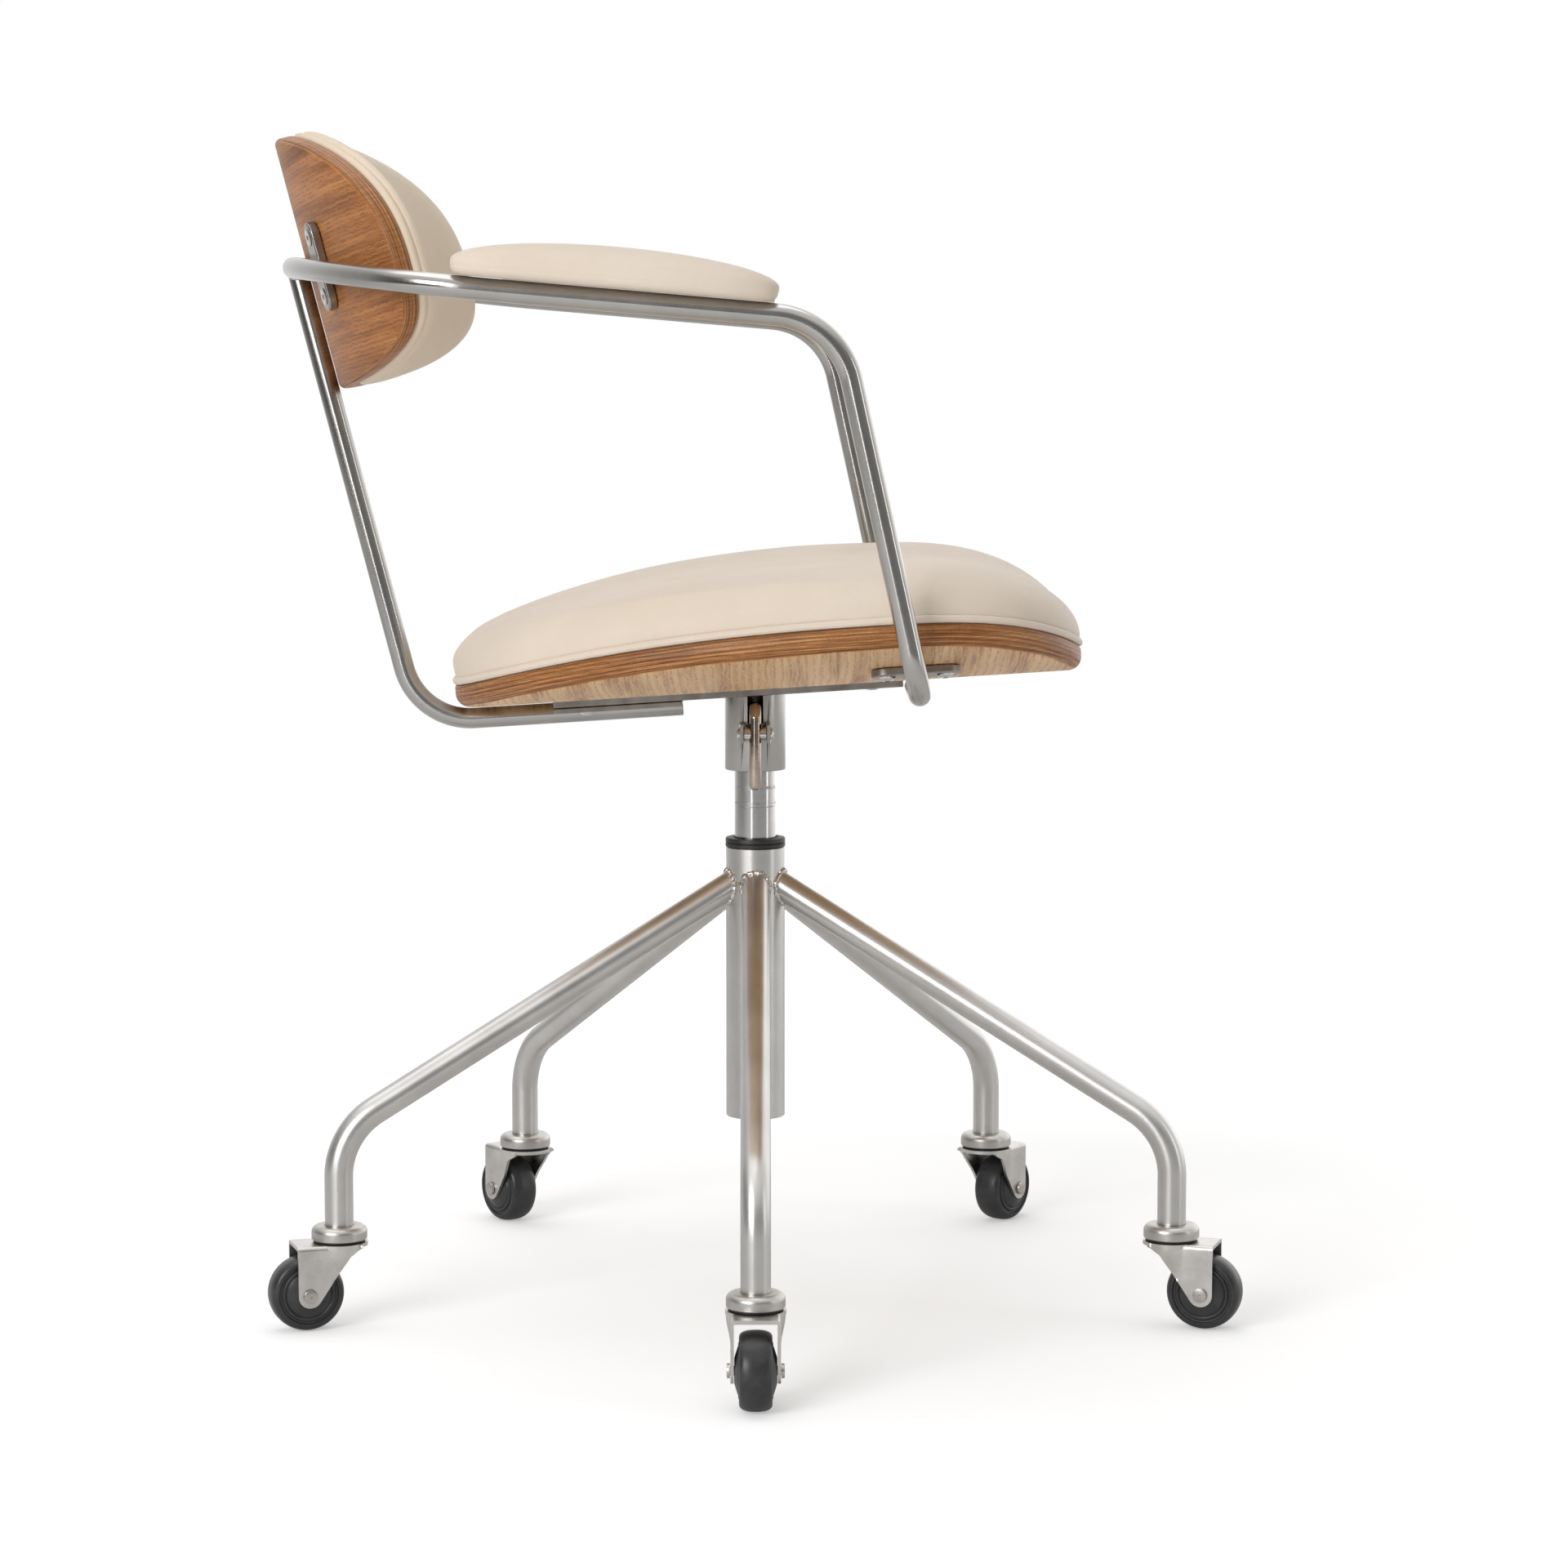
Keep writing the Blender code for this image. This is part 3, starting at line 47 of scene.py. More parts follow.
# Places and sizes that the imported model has, in metres
AXIS_Y = 0.0235
GAP = 0.0003
WELD_SINK = 0.0005
LIFT_R = 0.0141
LIFT_TOP_Z = 0.3985
LIFT_BOTTOM_Z = 0.1866
COLUMN_R = 0.020
COLUMN_BORE_R = 0.0175
COLUMN_BOTTOM_Z = 0.126
COLUMN_TOP_Z = 0.3113
COLUMN_FLOOR_Z = 0.134
COLUMN_FLOOR_T = 0.004
BUSH_FLANGE_T = 0.006
BUSH_SLEEVE_L = 0.049
GRUB_Z = 0.3007
GRUB_R = 0.0022
LEG_COUNT = 5
FIRST_LEG_AZIMUTH = math.radians(-90)
STEM_CIRCLE_R = 0.291
LEG_R = 0.0095
LEG_SLOPE = math.radians(29.6)
LEG_CORNER_Z = 0.1302
LEG_BEND_R = 0.050
WHEEL_R = 0.025
WHEEL_HALF = 0.0103
HUB_HALF = 0.0132
HUB_R = 0.009
CASTER_TRAIL = 0.023
AXLE_R = 0.003
AXLE_HEAD_R = 0.0047
AXLE_HEAD_T = 0.002
FORK_PLATE_R = 0.019
FORK_PLATE_T = 0.0025
FORK_TOP_Z = 0.058
FORK_CHEEK_T = 0.002
FORK_INSIDE = 0.0135
FORK_NOSE_R = 0.008
FORK_HEEL_X = -0.0125
FORK_SHOULDER_X = -0.004
FORK_SHOULDER_DROP = 0.005
COLLAR_R = 0.0185
COLLAR_BOTTOM_Z = 0.0595
COLLAR_TOP_Z = 0.069
STEM_PIN_R = 0.005
RIVET_R = 0.008
RIVET_T = 0.002
SOCKET_R = 0.0205
SOCKET_BOTTOM_Z = 0.364
SLOT_W = 0.0105
SLOT_BOTTOM_Z = 0.394
EAR_INSIDE = 0.0080
EAR_T = 0.002
EAR_H = 0.013
EAR_OUT_Y = -0.034
PIVOT_REACH = 0.0285
PIVOT_Z = 0.3905
LEVER_R = 0.004
LEVER_ARM_Z = 0.4074
LEVER_FOOT_Z = 0.3527
LEVER_BEND_R = 0.007
LEVER_TIP_PAST = 0.004
LEVER_PIN_HEAD_R = 0.0037
LEVER_PIN_HEAD_T = 0.002
SEAT_TILT = math.radians(3.54)
SEAT_BAR_Z = 0.4152
SEAT_BAR_T = 0.005
SEAT_BAR_W = 0.040
SEAT_BAR_REAR_X = -0.1362
SEAT_BAR_FRONT_X = 0.100
BAR_SCREW_FRONT_X = 0.0795
BAR_SCREW_REAR_X = -0.1140
BAR_SCREW_REAR_Y = -0.0135
REAR_PLATE_T = 0.0036
REAR_PLATE_FRONT_X = -0.0492
ROD_R = 0.007
ROD_FLAT_RISE = 0.0004
REAR_ROD_BEND_R = 0.046
REAR_ROD_LEAN = math.radians(14.5)
ARM_HALF_W = 0.262
ARM_Z = 0.6697
ARM_FALL = 0.0855
ARM_RISE_X = -0.150
ARM_RISE = 0.22
LOOP_REAR_X = -0.3071
LOOP_REAR_R = 0.400
LOOP_CORNER_R = 0.070
LOOP_FRONT_X = 0.0509
LOOP_FRONT_BEND_R = 0.052
FOOT_BEND_R = 0.030
FOOT_PAST_WELD = 0.013
SEAT_BEND_R = 0.800
SEAT_PLY_T = 0.015
SEAT_HALF_W = 0.2455
SEAT_WIDEST_X = 0.080
SEAT_FRONT_L = 0.1385
SEAT_REAR_L = 0.2815
SEAT_FRONT_POWER = 2.8
SEAT_REAR_POWER = 2.25
SEAT_UNDER_ROUND = 0.009
SEAT_CROWN = 0.069
SEAT_WALL = 0.0105
SEAT_WALL_SWING = 0.0035
SIDE_BRACKET_X = 0.1037
SIDE_BRACKET_Y = 0.175
SIDE_BRACKET_L = 0.057
SIDE_BRACKET_W = 0.020
SIDE_BRACKET_T = 0.005
SIDE_SCREW_PITCH = 0.037
BACK_TILT = math.radians(14.5)
BACK_RISE = 0.005
BACK_BEND_R = 0.345
BACK_PLY_T = 0.012
BACK_HALF_ARC = 0.2264
BACK_WIDEST_Z = -0.020
BACK_TOP_L = 0.1065
BACK_LOW_L = 0.063
BACK_TOP_POWER = 2.3
BACK_LOW_POWER = 3.5
BACK_UNDER_ROUND = 0.004
BACK_CROWN = 0.031
BACK_WALL = 0.0095
BACK_BRACKET_Y = 0.120
BACK_BRACKET_Z = -0.0052
BACK_BRACKET_L = 0.058
BACK_BRACKET_W = 0.018
BACK_BRACKET_T = 0.006
BACK_SCREW_PITCH = 0.0387
PLY_EDGE_ROUND = 0.002
PAD_X = -0.086
PAD_HALF_L = 0.1006
PAD_HALF_W = 0.030
PAD_CROWN = 0.025
PAD_WALL = 0.0085
PAD_POWER = 2.8
SCREW_R = 0.003
SCREW_HEAD_R = 0.0055
SCREW_HEAD_T = 0.0026

# Details that only the looks have
WELT_R = 0.0026
WELT_OUT = 0.0014
WELT_LUMP = 0.03
SEAT_FOOT = ((0.004, 0.0), (0.0030, 0.0014), (0.0022, 0.0030), (0.0016, 0.0044), (0.0006, 0.0052))
BACK_FOOT = ((0.0035, 0.0), (0.0010, 0.0006), (-0.0002, 0.0018), (-0.0008, 0.0036), (-0.0004, 0.0054),
             (0.0013, 0.0064), (-0.0002, 0.0074))
PAD_FOOT = ((0.0062, 0.0), (0.0032, 0.0009), (0.0013, 0.0024), (0.0003, 0.0042), (0.0008, 0.0052),
            (0.0, 0.0064))
SEAT_SHOULDER = 0.0062
SEAT_SHOULDER_TURN = math.radians(21)
SEAT_SHOULDER_FRONT_X = 0.118
SEAT_SHOULDER_REAR_X = -0.180
SEAT_SHOULDER_REST = 0.55
SEAT_SHOULDER_FADE = 0.110
BACK_SHOULDER = 0.0012
BACK_SHOULDER_TURN = math.radians(24)
SHOULDER_BELOW = math.radians(11)
SHOULDER_ABOVE = math.radians(15)
SEAT_SWELL = 0.0016
BACK_SWELL = 0.0012
PAD_SWELL = 0.0010
SWELL_FRAMES = 20
SWELL_PRESSURE = 4.0
SWELL_QUALITY = 6
WELD_R = 0.0019
ROD_WELD_R = 0.6 * WELD_R
EAR_WELD_R = 0.55 * WELD_R
EAR_WELD_HALF_W = 0.0016
EAR_WELD_IN = 0.0003
WELD_LUMP = 0.35
LEG_SINK = 0.004
EAR_SINK = 0.004
HEX_R = 0.0019
HEX_DEEP = 0.0015
FLUSH_EDGE = 0.0008
FLUSH_RISE = 0.0003
FLUSH_PROUD = 0.0004
PLATE_BEVEL = 0.0007
BRACKET_BEVEL = 0.0012
FINE_BEVEL = 0.0004
ARM_END_ROUND = 0.0015
REAR_END_ROUND = 0.001
LEVER_END_ROUND = 0.0026
LIFT_WALL = 0.0021
LIFT_CHAMFER = 0.001
SOCKET_ROUND = 0.0006
LEVER_FORWARD = 0.0016
SLEEVE_R = 0.0042
SLEEVE_CHAMFER = 0.0004
COLUMN_LIP = 0.0006
COLUMN_FLOOR_BORE_R = 0.0056
GRUB_LOW = -0.002
GRUB_HIGH = 0.006
BUSH_GROOVE_Z = 0.0026
BUSH_GROOVE_HALF = 0.0004
BUSH_GROOVE_DEEP = 0.0005
BUSH_EDGE = 0.0010
BUSH_LIP = 0.0008
TREAD_DROP = 0.0050
TREAD_POWER = 2.6
GROOVE_R = 0.0188
GROOVE_W = 0.0012
GROOVE_DEEP = 0.0012
RING_R = 0.0154
RING_W = 0.0008
RING_DEEP = 0.0009
WEB_RISES = (0.0002, 0.0006, 0.0008)
HUB_CHAMFER = 0.001
HUB_DROP = 0.0006
WHEEL_SOFT = 0.0004
COLLAR_ROUND = 0.0045
COLLAR_BREAK = 0.0006
COLLAR_BREAK_Z = 0.0008
COLLAR_CUP = 0.0005
COLLAR_CUP_RIM = 0.0002
COLLAR_SOFT = 0.0003
RIVET_CHAMFER = 0.001
SEAL_R = 0.0172
SEAL_SOFT = 0.0002
FORK_FOLD_R = 0.0028
FORK_LIP = 0.0004
FORK_SPREAD_X = 0.0120
FORK_SPREAD_Z = 0.0340
AXLE_EDGE = 0.0005
AXLE_DIMPLE = ((0.0009, 0), (0.0006, 0.0005), (0.0002, 0.0006))
RUB_MARKS = ((0.3522, 0.0015), (0.3415, 0.0008), (0.3392, 0.0006))

# A profile's radius on its axis, the reach of cutting bodies, and how wide a plate's coordinates are
AXIS_R = 0.0005
CUT_PAST = 0.01
CUT_OVER = 0.002
CUT_HALF = 0.03
PLATE_LIE = 0.040

# Segments round a section, and steps along curves
FINE = 64
TUBE_SEGMENTS = 32
BEAD_SEGMENTS = 10
SCREW_SEGMENTS = 40
SMALL_SEGMENTS = 24
FLOOR_SEGMENTS = 96
BEND_STEPS = 20
EDGE_STEPS = 6
CORNER_STEPS = 8
FORK_STEP = 0.0015
SEAT_GRID = 56
BACK_GRID = 48
PAD_GRID = 28
DOME_STEPS = 16
ROUND_STEPS = 12
DOME_GRID_TURN = math.radians(48)
SMOOTH_ANGLE = math.radians(35)

# Camera of the photograph, and the studio
LENS_MM = 95.906
SENSOR_MM = 36.0
CAMERA_PLACE = (0, -2.7995, 0.6486)
CAMERA_TURN = (QUARTER - 0.1041, 0, -0.0069)
AMBIENT_COLOR = (1.0, 0.972, 0.93, 1.0)
AMBIENT_STRENGTH = 0.38
WHITE = (1.0, 1.0, 1.0, 1.0)
WALL_DEPTH = (-0.30, 0.80, 0.17, 1.0)
WALL_SIDES = (-1.0, 1.0, 0.5, 1.9)
CEILING = (0.30, 0.75, 0.0, 1.0)
FLOOR_TONES = ((0.92, 0.935, 0.955, 1.0), (0.94, 0.955, 0.975, 1.0))
FLOOR_R = 2.6
FLOOR_T = 0.02
FLOOR_DROP = 0.0002
FLOOR_GLOW = (0.6, FLOOR_R * 0.9, 0.35, 1.0)
LIGHTS = (("key", (-2.0, -2.8, 1.6), (0, 0, 0.45), (1.6, 1.6), 56),
          ("top", (-0.3, 0.3, 3.0), (0, 0, 0.4), (2.4, 2.4), 23),
          ("strip_left", (-1.25, -3.3, 1.0), (0, 0, 0.5), (0.28, 2.2), 10),
          ("strip_right", (3.1, -1.1, 1.0), (0, 0, 0.5), (0.4, 2.2), 8))


def set_at(spot, turn=(0, 0, 0)):
    """A place, and a turn about X, Y and Z."""
    return Matrix.LocRotScale(spot, Euler(turn), None)


# Frames of the chair and the seat, the chair's two sides, and what every metal has
CHAIR = set_at((0, AXIS_Y, 0))
SEAT_IN_CHAIR = set_at((0, 0, SEAT_BAR_Z), (0, -SEAT_TILT, 0))
SEAT = CHAIR @ SEAT_IN_CHAIR
SEAT_SHELL_Z = SEAT_BAR_T + GAP
SIDES = ((-1, "right"), (1, "left"))
METAL = {"Metallic": 1.0}


def linear(color):
    """A colour as it is seen, 0 to 255, turned into linear light. One of four numbers is so already."""
    if len(color) == 4:
        return color
    shares = [value / 255 for value in color]
    return tuple(s / 12.92 if s <= 0.04045 else ((s + 0.055) / 1.055) ** 2.4 for s in shares) + (1.0,)


class Nodes:
    """A node tree, with short calls that add to it."""

    def __init__(self, tree):
        self.tree = tree

    def feed(self, socket, value):
        """Link a socket to an output, or set its value or colour."""
        if isinstance(value, bpy.types.NodeSocket):
            self.tree.links.new(value, socket)
        else:
            socket.default_value = linear(value) if socket.type == "RGBA" else value

    def node(self, kind, sockets=None, **settings):
        made = self.tree.nodes.new("ShaderNode" + kind)
        for name, value in settings.items():
            setattr(made, name, value)
        for key, value in (sockets or {}).items():
            self.feed(made.inputs[key], value)
        return made

    def noise(self, vector, scale, detail=3, roughness=0.55):
        """Noise at so many cycles a metre, or so many along each axis."""
        if isinstance(scale, tuple):
            vector = self.node("Mapping", {"Vector": vector, "Scale": scale}).outputs["Vector"]
            scale = 1.0
        sockets = {"Vector": vector, "Scale": scale, "Detail": detail, "Roughness": roughness}
        return self.node("TexNoise", sockets).outputs["Fac"]

    def ramp(self, factor, *stops):
        """A colour for each value of the factor."""
        node = self.node("ValToRGB", {"Fac": factor})
        elements = node.color_ramp.elements
        for element, (position, color) in zip(elements, (stops[0], stops[-1])):
            element.position = position
            element.color = linear(color)
        for position, color in stops[1:-1]:
            elements.new(position).color = linear(color)
        return node.outputs["Color"]

    def mix(self, factor, first, second, kind="MIX"):
        """Two colours mixed by a factor."""
        sockets = {0: factor, 6: first, 7: second}
        return self.node("Mix", sockets, data_type="RGBA", blend_type=kind).outputs[2]

    def remap(self, factor, low, high, start, end):
        """A factor's span from low to high laid over start to end, and held at both."""
        sockets = {"Value": factor, "From Min": low, "From Max": high, "To Min": start, "To Max": end}
        return self.node("MapRange", sockets).outputs["Result"]

    def calc(self, operation, first, second=0.0):
        return self.node("Math", {0: first, 1: second}, operation=operation).outputs[0]

    def plus(self, first, second):
        return self.calc("ADD", first, second)

    def times(self, first, second):
        return self.calc("MULTIPLY", first, second)

    def axes(self, vector):
        return self.node("SeparateXYZ", {0: vector}).outputs

    def bump(self, height, distance, under=None):
        """Fine relief, laid over another relief if one is given."""
        sockets = {"Height": height, "Distance": distance, "Strength": 1.0}
        if under:
            sockets["Normal"] = under
        return self.node("Bump", sockets).outputs["Normal"]


class Look(Nodes):
    """A material for a slot of the record: a Principled shader with its constants set."""

    def __init__(self, name, slot, constants):
        self.slot = slot
        self.material = bpy.data.materials.new(name)
        self.material.use_nodes = True
        super().__init__(self.material.node_tree)
        self.shader = self.tree.nodes["Principled BSDF"]
        for key, value in constants.items():
            self.shader.inputs[key].default_value = value
        self.place = self.node("TexCoord").outputs["Object"]

    def surface(self, color, rough, normal):
        for key, source in (("Base Color", color), ("Roughness", rough), ("Normal", normal)):
            self.feed(self.shader.inputs[key], source)
        return self

    def cloudy(self, pattern, shade_stop, light_stop, smooth, rough, normal):
        """A surface whose tone and gloss follow one pattern."""
        return self.surface(self.ramp(pattern, shade_stop, light_stop),
                            self.remap(pattern, 0.3, 0.7, smooth, rough), normal)

    def brushed(self):
        """Coordinates round and along a tube, which its brushed gloss follows."""
        tangent = self.node("Tangent", direction_type="UV_MAP", uv_map="lie").outputs[0]
        self.feed(self.shader.inputs["Tangent"], tangent)
        return self.node("UVMap", uv_map="lie").outputs["UV"]


def leather_look(name, light, shade):
    """Smooth cream leather: fine pores, soft creases and a slightly cloudy tone."""
    look = Look(name, "cream_leather", {"Roughness": 0.5, "Sheen Weight": 0.03, "Sheen Roughness": 0.4,
                                        "Specular IOR Level": 0.30})
    tone = look.ramp(look.noise(look.place, 11, 4), (0.30, shade), (0.68, light))
    pores = look.node("TexVoronoi", {"Vector": look.place, "Scale": 900.0, "Randomness": 1.0},
                      feature="DISTANCE_TO_EDGE").outputs["Distance"]
    pits = look.remap(pores, 0.0, 0.16, 0.0, 1.0)
    # Painted shade: the tone is darkened a little in the pores, the low places of the grain that the bump
    # below sinks
    pore_shaded = look.mix(look.remap(pits, 0.0, 1.0, 0.10, 0.0), tone, shade)
    rough = look.remap(look.noise(look.place, 420), 0.3, 0.7, 0.42, 0.56)
    soft = look.bump(look.noise(look.place, 38, 4, 0.6), 0.0009)
    creased = look.bump(look.noise(look.place, (60, 150, 150), 5, 0.6), 0.00035, soft)
    return look.surface(pore_shaded, rough, look.bump(pits, 0.00006, creased))


def oak_look(name, face_tones, thickness, layers, line_pitch, wandering, line_depth):
    """Oak ply: a faced side with open grain across the sheet, and an edge in layers."""
    light, middle, dark = face_tones
    look = Look(name, "bent_oak_ply", {"Roughness": 0.45, "Specular IOR Level": 0.3, "Coat Weight": 0.05,
                                       "Coat Roughness": 0.35})
    sheet = look.node("UVMap", uv_map="sheet").outputs["UV"]
    depth = look.node("Attribute", attribute_name="depth").outputs["Fac"]

    # Face: growth lines that wander across the sheet, fine streaks, and short dark pores along the lines
    shift = look.plus(look.remap(look.noise(sheet, (14, 5, 1)), 0.2, 0.8, -wandering, wandering),
                      look.remap(look.noise(sheet, (160, 420, 1), 2), 0.2, 0.8, -0.0011, 0.0011))
    aside = look.node("CombineXYZ", {"X": shift}).outputs[0]
    drift = look.node("VectorMath", {0: sheet, 1: aside}, operation="ADD").outputs[0]
    growth = look.calc("FRACT", look.times(look.axes(drift)["X"], 1 / line_pitch))
    broad = look.noise(drift, (70, 3.5, 1), 4, 0.6)
    streak = look.noise(drift, (700, 14, 1), 4, 0.7)
    pore = look.noise(drift, (1500, 110, 1), 2, 0.5)
    figure = look.plus(look.times(broad, 0.5), look.times(streak, 0.5))
    late = look.times(look.remap(growth, 0.55, 0.95, 0.0, 1.0), look.remap(growth, 0.96, 1.0, 1.0, 0.0))
    gated = look.times(look.times(look.remap(pore, 0.47, 0.56, 0.0, 1.0), late), line_depth)
    face = look.mix(gated, look.ramp(figure, (0.38, dark), (0.49, middle), (0.60, light)), dark)

    # Edge: plies by depth, long fibres in one and end grain in the next
    gold, pale, brown = EDGE_TONES
    warped = look.plus(depth, look.remap(look.noise(look.place, 14), 0.3, 0.7, -0.0005, 0.0005))
    period = look.calc("FRACT", look.times(warped, layers / 2 / thickness))
    plies = look.ramp(period, (0.0, brown), (0.10, pale), (0.44, pale), (0.58, brown), (0.90, brown),
                      (0.99, brown))
    spot = look.axes(look.place)
    layered = look.node("CombineXYZ", {"X": look.times(spot["X"], 16.0), "Y": look.times(spot["Y"], 16.0),
                                       "Z": look.times(depth, 1500.0)}).outputs[0]
    streaks = look.ramp(look.noise(layered, 1.0, 4, 0.65), (0.36, brown), (0.52, pale), (0.64, gold))
    fibres = look.remap(look.noise(look.place, (70, 70, 900), 4, 0.6), 0.3, 0.7, 0.72, 1.18)
    specks = look.remap(look.noise(look.place, 900, 2, 0.5), 0.35, 0.65, 0.88, 1.08)
    shade = look.times(fibres, specks)
    grey = look.node("CombineColor", {"Red": shade, "Green": shade, "Blue": shade}).outputs[0]
    edge = look.mix(1.0, look.mix(0.55, plies, streaks), grey, "MULTIPLY")

    # The edge begins a veneer's thickness in from the face
    is_edge = look.remap(warped, 0.0006, 0.0014, 0.0, 1.0)
    relief = look.mix(is_edge, look.calc("SUBTRACT", 1.0, gated), look.times(period, shade))
    rough = look.remap(streak, 0.3, 0.7, 0.38, 0.56)
    return look.surface(look.mix(is_edge, face, edge), rough, look.bump(relief, 0.00012))


def tube_steel_look(name, light, shade, smooth, rough, anisotropy):
    """Steel brushed round the tube: fine rings of grain, faint polish marks and softer patches."""
    brushing = {"Anisotropic": anisotropy, "Anisotropic Rotation": 0.25}
    look = Look(name, "brushed_stainless", METAL | brushing)
    lie = look.brushed()
    rings = look.noise(lie, (35, 2600, 1), 3, 0.6)
    patches = look.noise(look.place, 26)
    scuffs = look.remap(look.noise(lie, (260, 55, 1), 4, 0.7), 0.60, 0.76, 0.0, 0.5)
    tone = look.ramp(patches, (0.32, shade), (0.66, light))
    grain = look.plus(look.times(rings, 0.7), look.times(patches, 0.3))
    return look.surface(look.mix(scuffs, tone, shade), look.remap(grain, 0.35, 0.65, smooth, rough),
                        look.bump(rings, 0.000006))


def plate_steel_look(name, light, shade, smooth, rough):
    """Flat steel ground lengthwise, with a few scratches."""
    look = Look(name, "brushed_stainless", METAL)
    lines = look.noise(look.place, (40, 1900, 1900), 3, 0.6)
    scratches = look.remap(look.noise(look.place, (120, 700, 300), 2, 0.4), 0.66, 0.74, 0.0, 0.4)
    tone = look.ramp(look.noise(look.place, 60), (0.32, shade), (0.66, light))
    return look.surface(look.mix(scratches, tone, shade), look.remap(lines, 0.3, 0.7, smooth, rough),
                        look.bump(lines, 0.000015))


def lift_look(name, light, shade):
    """The lift's polished tube, with faint rings where the bush and the lever have rubbed."""
    look = Look(name, "bright_chrome", METAL | {"Anisotropic": 0.4, "Anisotropic Rotation": 0.25})
    rings = look.noise(look.brushed(), (20, 1800, 1))
    height = look.axes(look.place)["Z"]
    marks = None
    for level, half in RUB_MARKS:
        away = look.calc("ABSOLUTE", look.calc("SUBTRACT", height, level))
        band = look.remap(away, half * 0.4, half, 1.0, 0.0)
        marks = look.calc("MAXIMUM", marks, band) if marks else band
    broken = look.remap(look.noise(look.place, 240, 4, 0.7), 0.42, 0.60, 0.0, 1.0)
    worn = look.times(marks, broken)
    tone = look.ramp(look.noise(look.place, 30), (0.35, shade), (0.65, light))
    color = look.mix(look.times(worn, 0.55), tone, (96, 92, 88))
    rough = look.plus(look.remap(rings, 0.3, 0.7, 0.15, 0.22), look.times(worn, 0.25))
    return look.surface(color, rough, look.bump(rings, 0.000008))


def chrome_look(name, light, shade, smooth, rough):
    """Polished plating with slight smears."""
    look = Look(name, "bright_chrome", METAL)
    relief = look.bump(look.noise(look.place, 900, 2), 0.00001)
    smears = look.noise(look.place, 160, 4, 0.6)
    return look.cloudy(smears, (0.3, shade), (0.7, light), smooth, rough, relief)


def weld_look(name, light, shade, smooth, rough):
    """Cleaned weld beads, a little darker and warmer than the tubes."""
    look = Look(name, "brushed_stainless", METAL)
    lumps = look.noise(look.place, 480, 3, 0.6)
    return look.cloudy(lumps, (0.3, shade), (0.6, light), smooth, rough, look.bump(lumps, 0.0007))


def plastic_look(name, slot, light, shade, smooth, rough, pitch, relief):
    """Moulded plastic with a fine texture and light scuffs."""
    look = Look(name, slot, {"Specular IOR Level": 0.45})
    grain = look.bump(look.noise(look.place, pitch), relief)
    scuffs = look.noise(look.place, 75, 5, 0.7)
    return look.cloudy(scuffs, (0.42, shade), (0.66, light), smooth, rough, grain)


STEEL = tube_steel_look("satin_rod", (184, 181, 177), (174, 171, 167), 0.17, 0.24, 0.6)
LEG_STEEL = tube_steel_look("satin_leg", (212, 210, 207), (200, 198, 195), 0.31, 0.39, 0.5)
SOCKET_STEEL = tube_steel_look("satin_socket", (184, 181, 177), (172, 169, 165), 0.26, 0.36, 0.4)
PLATE_STEEL = plate_steel_look("ground_plate", (168, 163, 157), (138, 133, 127), 0.28, 0.42)
BRACKET_STEEL = plate_steel_look("back_plate", (176, 173, 168), (150, 146, 140), 0.20, 0.30)
FORK_STEEL = plate_steel_look("stamped_steel", (216, 213, 209), (196, 193, 188), 0.26, 0.36)
COLLAR_STEEL = plate_steel_look("turned_collar", (200, 197, 193), (184, 181, 176), 0.30, 0.42)
WELD = weld_look("weld_bead", (226, 223, 219), (158, 150, 140), 0.12, 0.32)
LIFT_STEEL = lift_look("lift_tube", (214, 212, 210), (196, 194, 192))
CHROME = chrome_look("polished_fastener", (224, 222, 219), (196, 193, 190), 0.10, 0.24)
# Painted shade and reflection: a darker, browner copy of the chrome for the lever, standing in for the
# shade under the seat and the oak it reflects
LEVER_CHROME_PAINTED_SHADE_AND_REFLECTION = chrome_look("lever_plating_painted_shade_reflection", (190, 176, 162), (164, 146, 128), 0.08, 0.16)
NICKEL = chrome_look("nickel_rivet", (206, 202, 197), (176, 171, 165), 0.26, 0.38)
BUSH_BLACK = plastic_look("bush_plastic", "black_plastic", (52, 52, 52), (38, 38, 38), 0.38, 0.5, 1500,
                          0.00003)
# Painted shade: the ring that fills the gap between collar and fork stands for a seal there, and its
# near-black tone also paints the shade in that gap
SEAL_WITH_PAINTED_GAP_SHADE = plastic_look("caster_seal_painted_gap_shade", "black_plastic", (30, 30, 30), (22, 22, 22), 0.5, 0.6, 900, 0.00002)
TREAD = plastic_look("wheel_tread", "dark_tread", (58, 58, 59), (46, 46, 47), 0.26, 0.40, 800, 0.00003)
LEATHER = leather_look("cream_leather_soft", (232, 218, 202), (225, 210, 193))
# Painted shade: a warmer, slightly darker copy of the cream leather for the back cushion, which stands in
# the shade, so that its shaded side comes out warm
BACK_LEATHER_PAINTED_WARM_SHADE = leather_look("cream_leather_back_painted_shade", (234, 217, 195), (227, 209, 186))
EDGE_TONES = ((228, 172, 108), (178, 118, 68), (96, 54, 25))
SEAT_OAK = oak_look("seat_ply", ((234, 196, 150), (218, 176, 127), (154, 102, 58)), SEAT_PLY_T, 11,
                    0.0050, 0.003, 0.75)
BACK_OAK = oak_look("back_ply", ((190, 130, 77), (160, 102, 55), (112, 64, 28)), BACK_PLY_T, 9,
                    0.0028, 0.0025, 0.85)


def smoothed(made):
    """A mesh with its curved sides smooth and its edges sharp."""
    made.shade_smooth()
    made.set_sharp_from_angle(angle=SMOOTH_ANGLE)
    return made


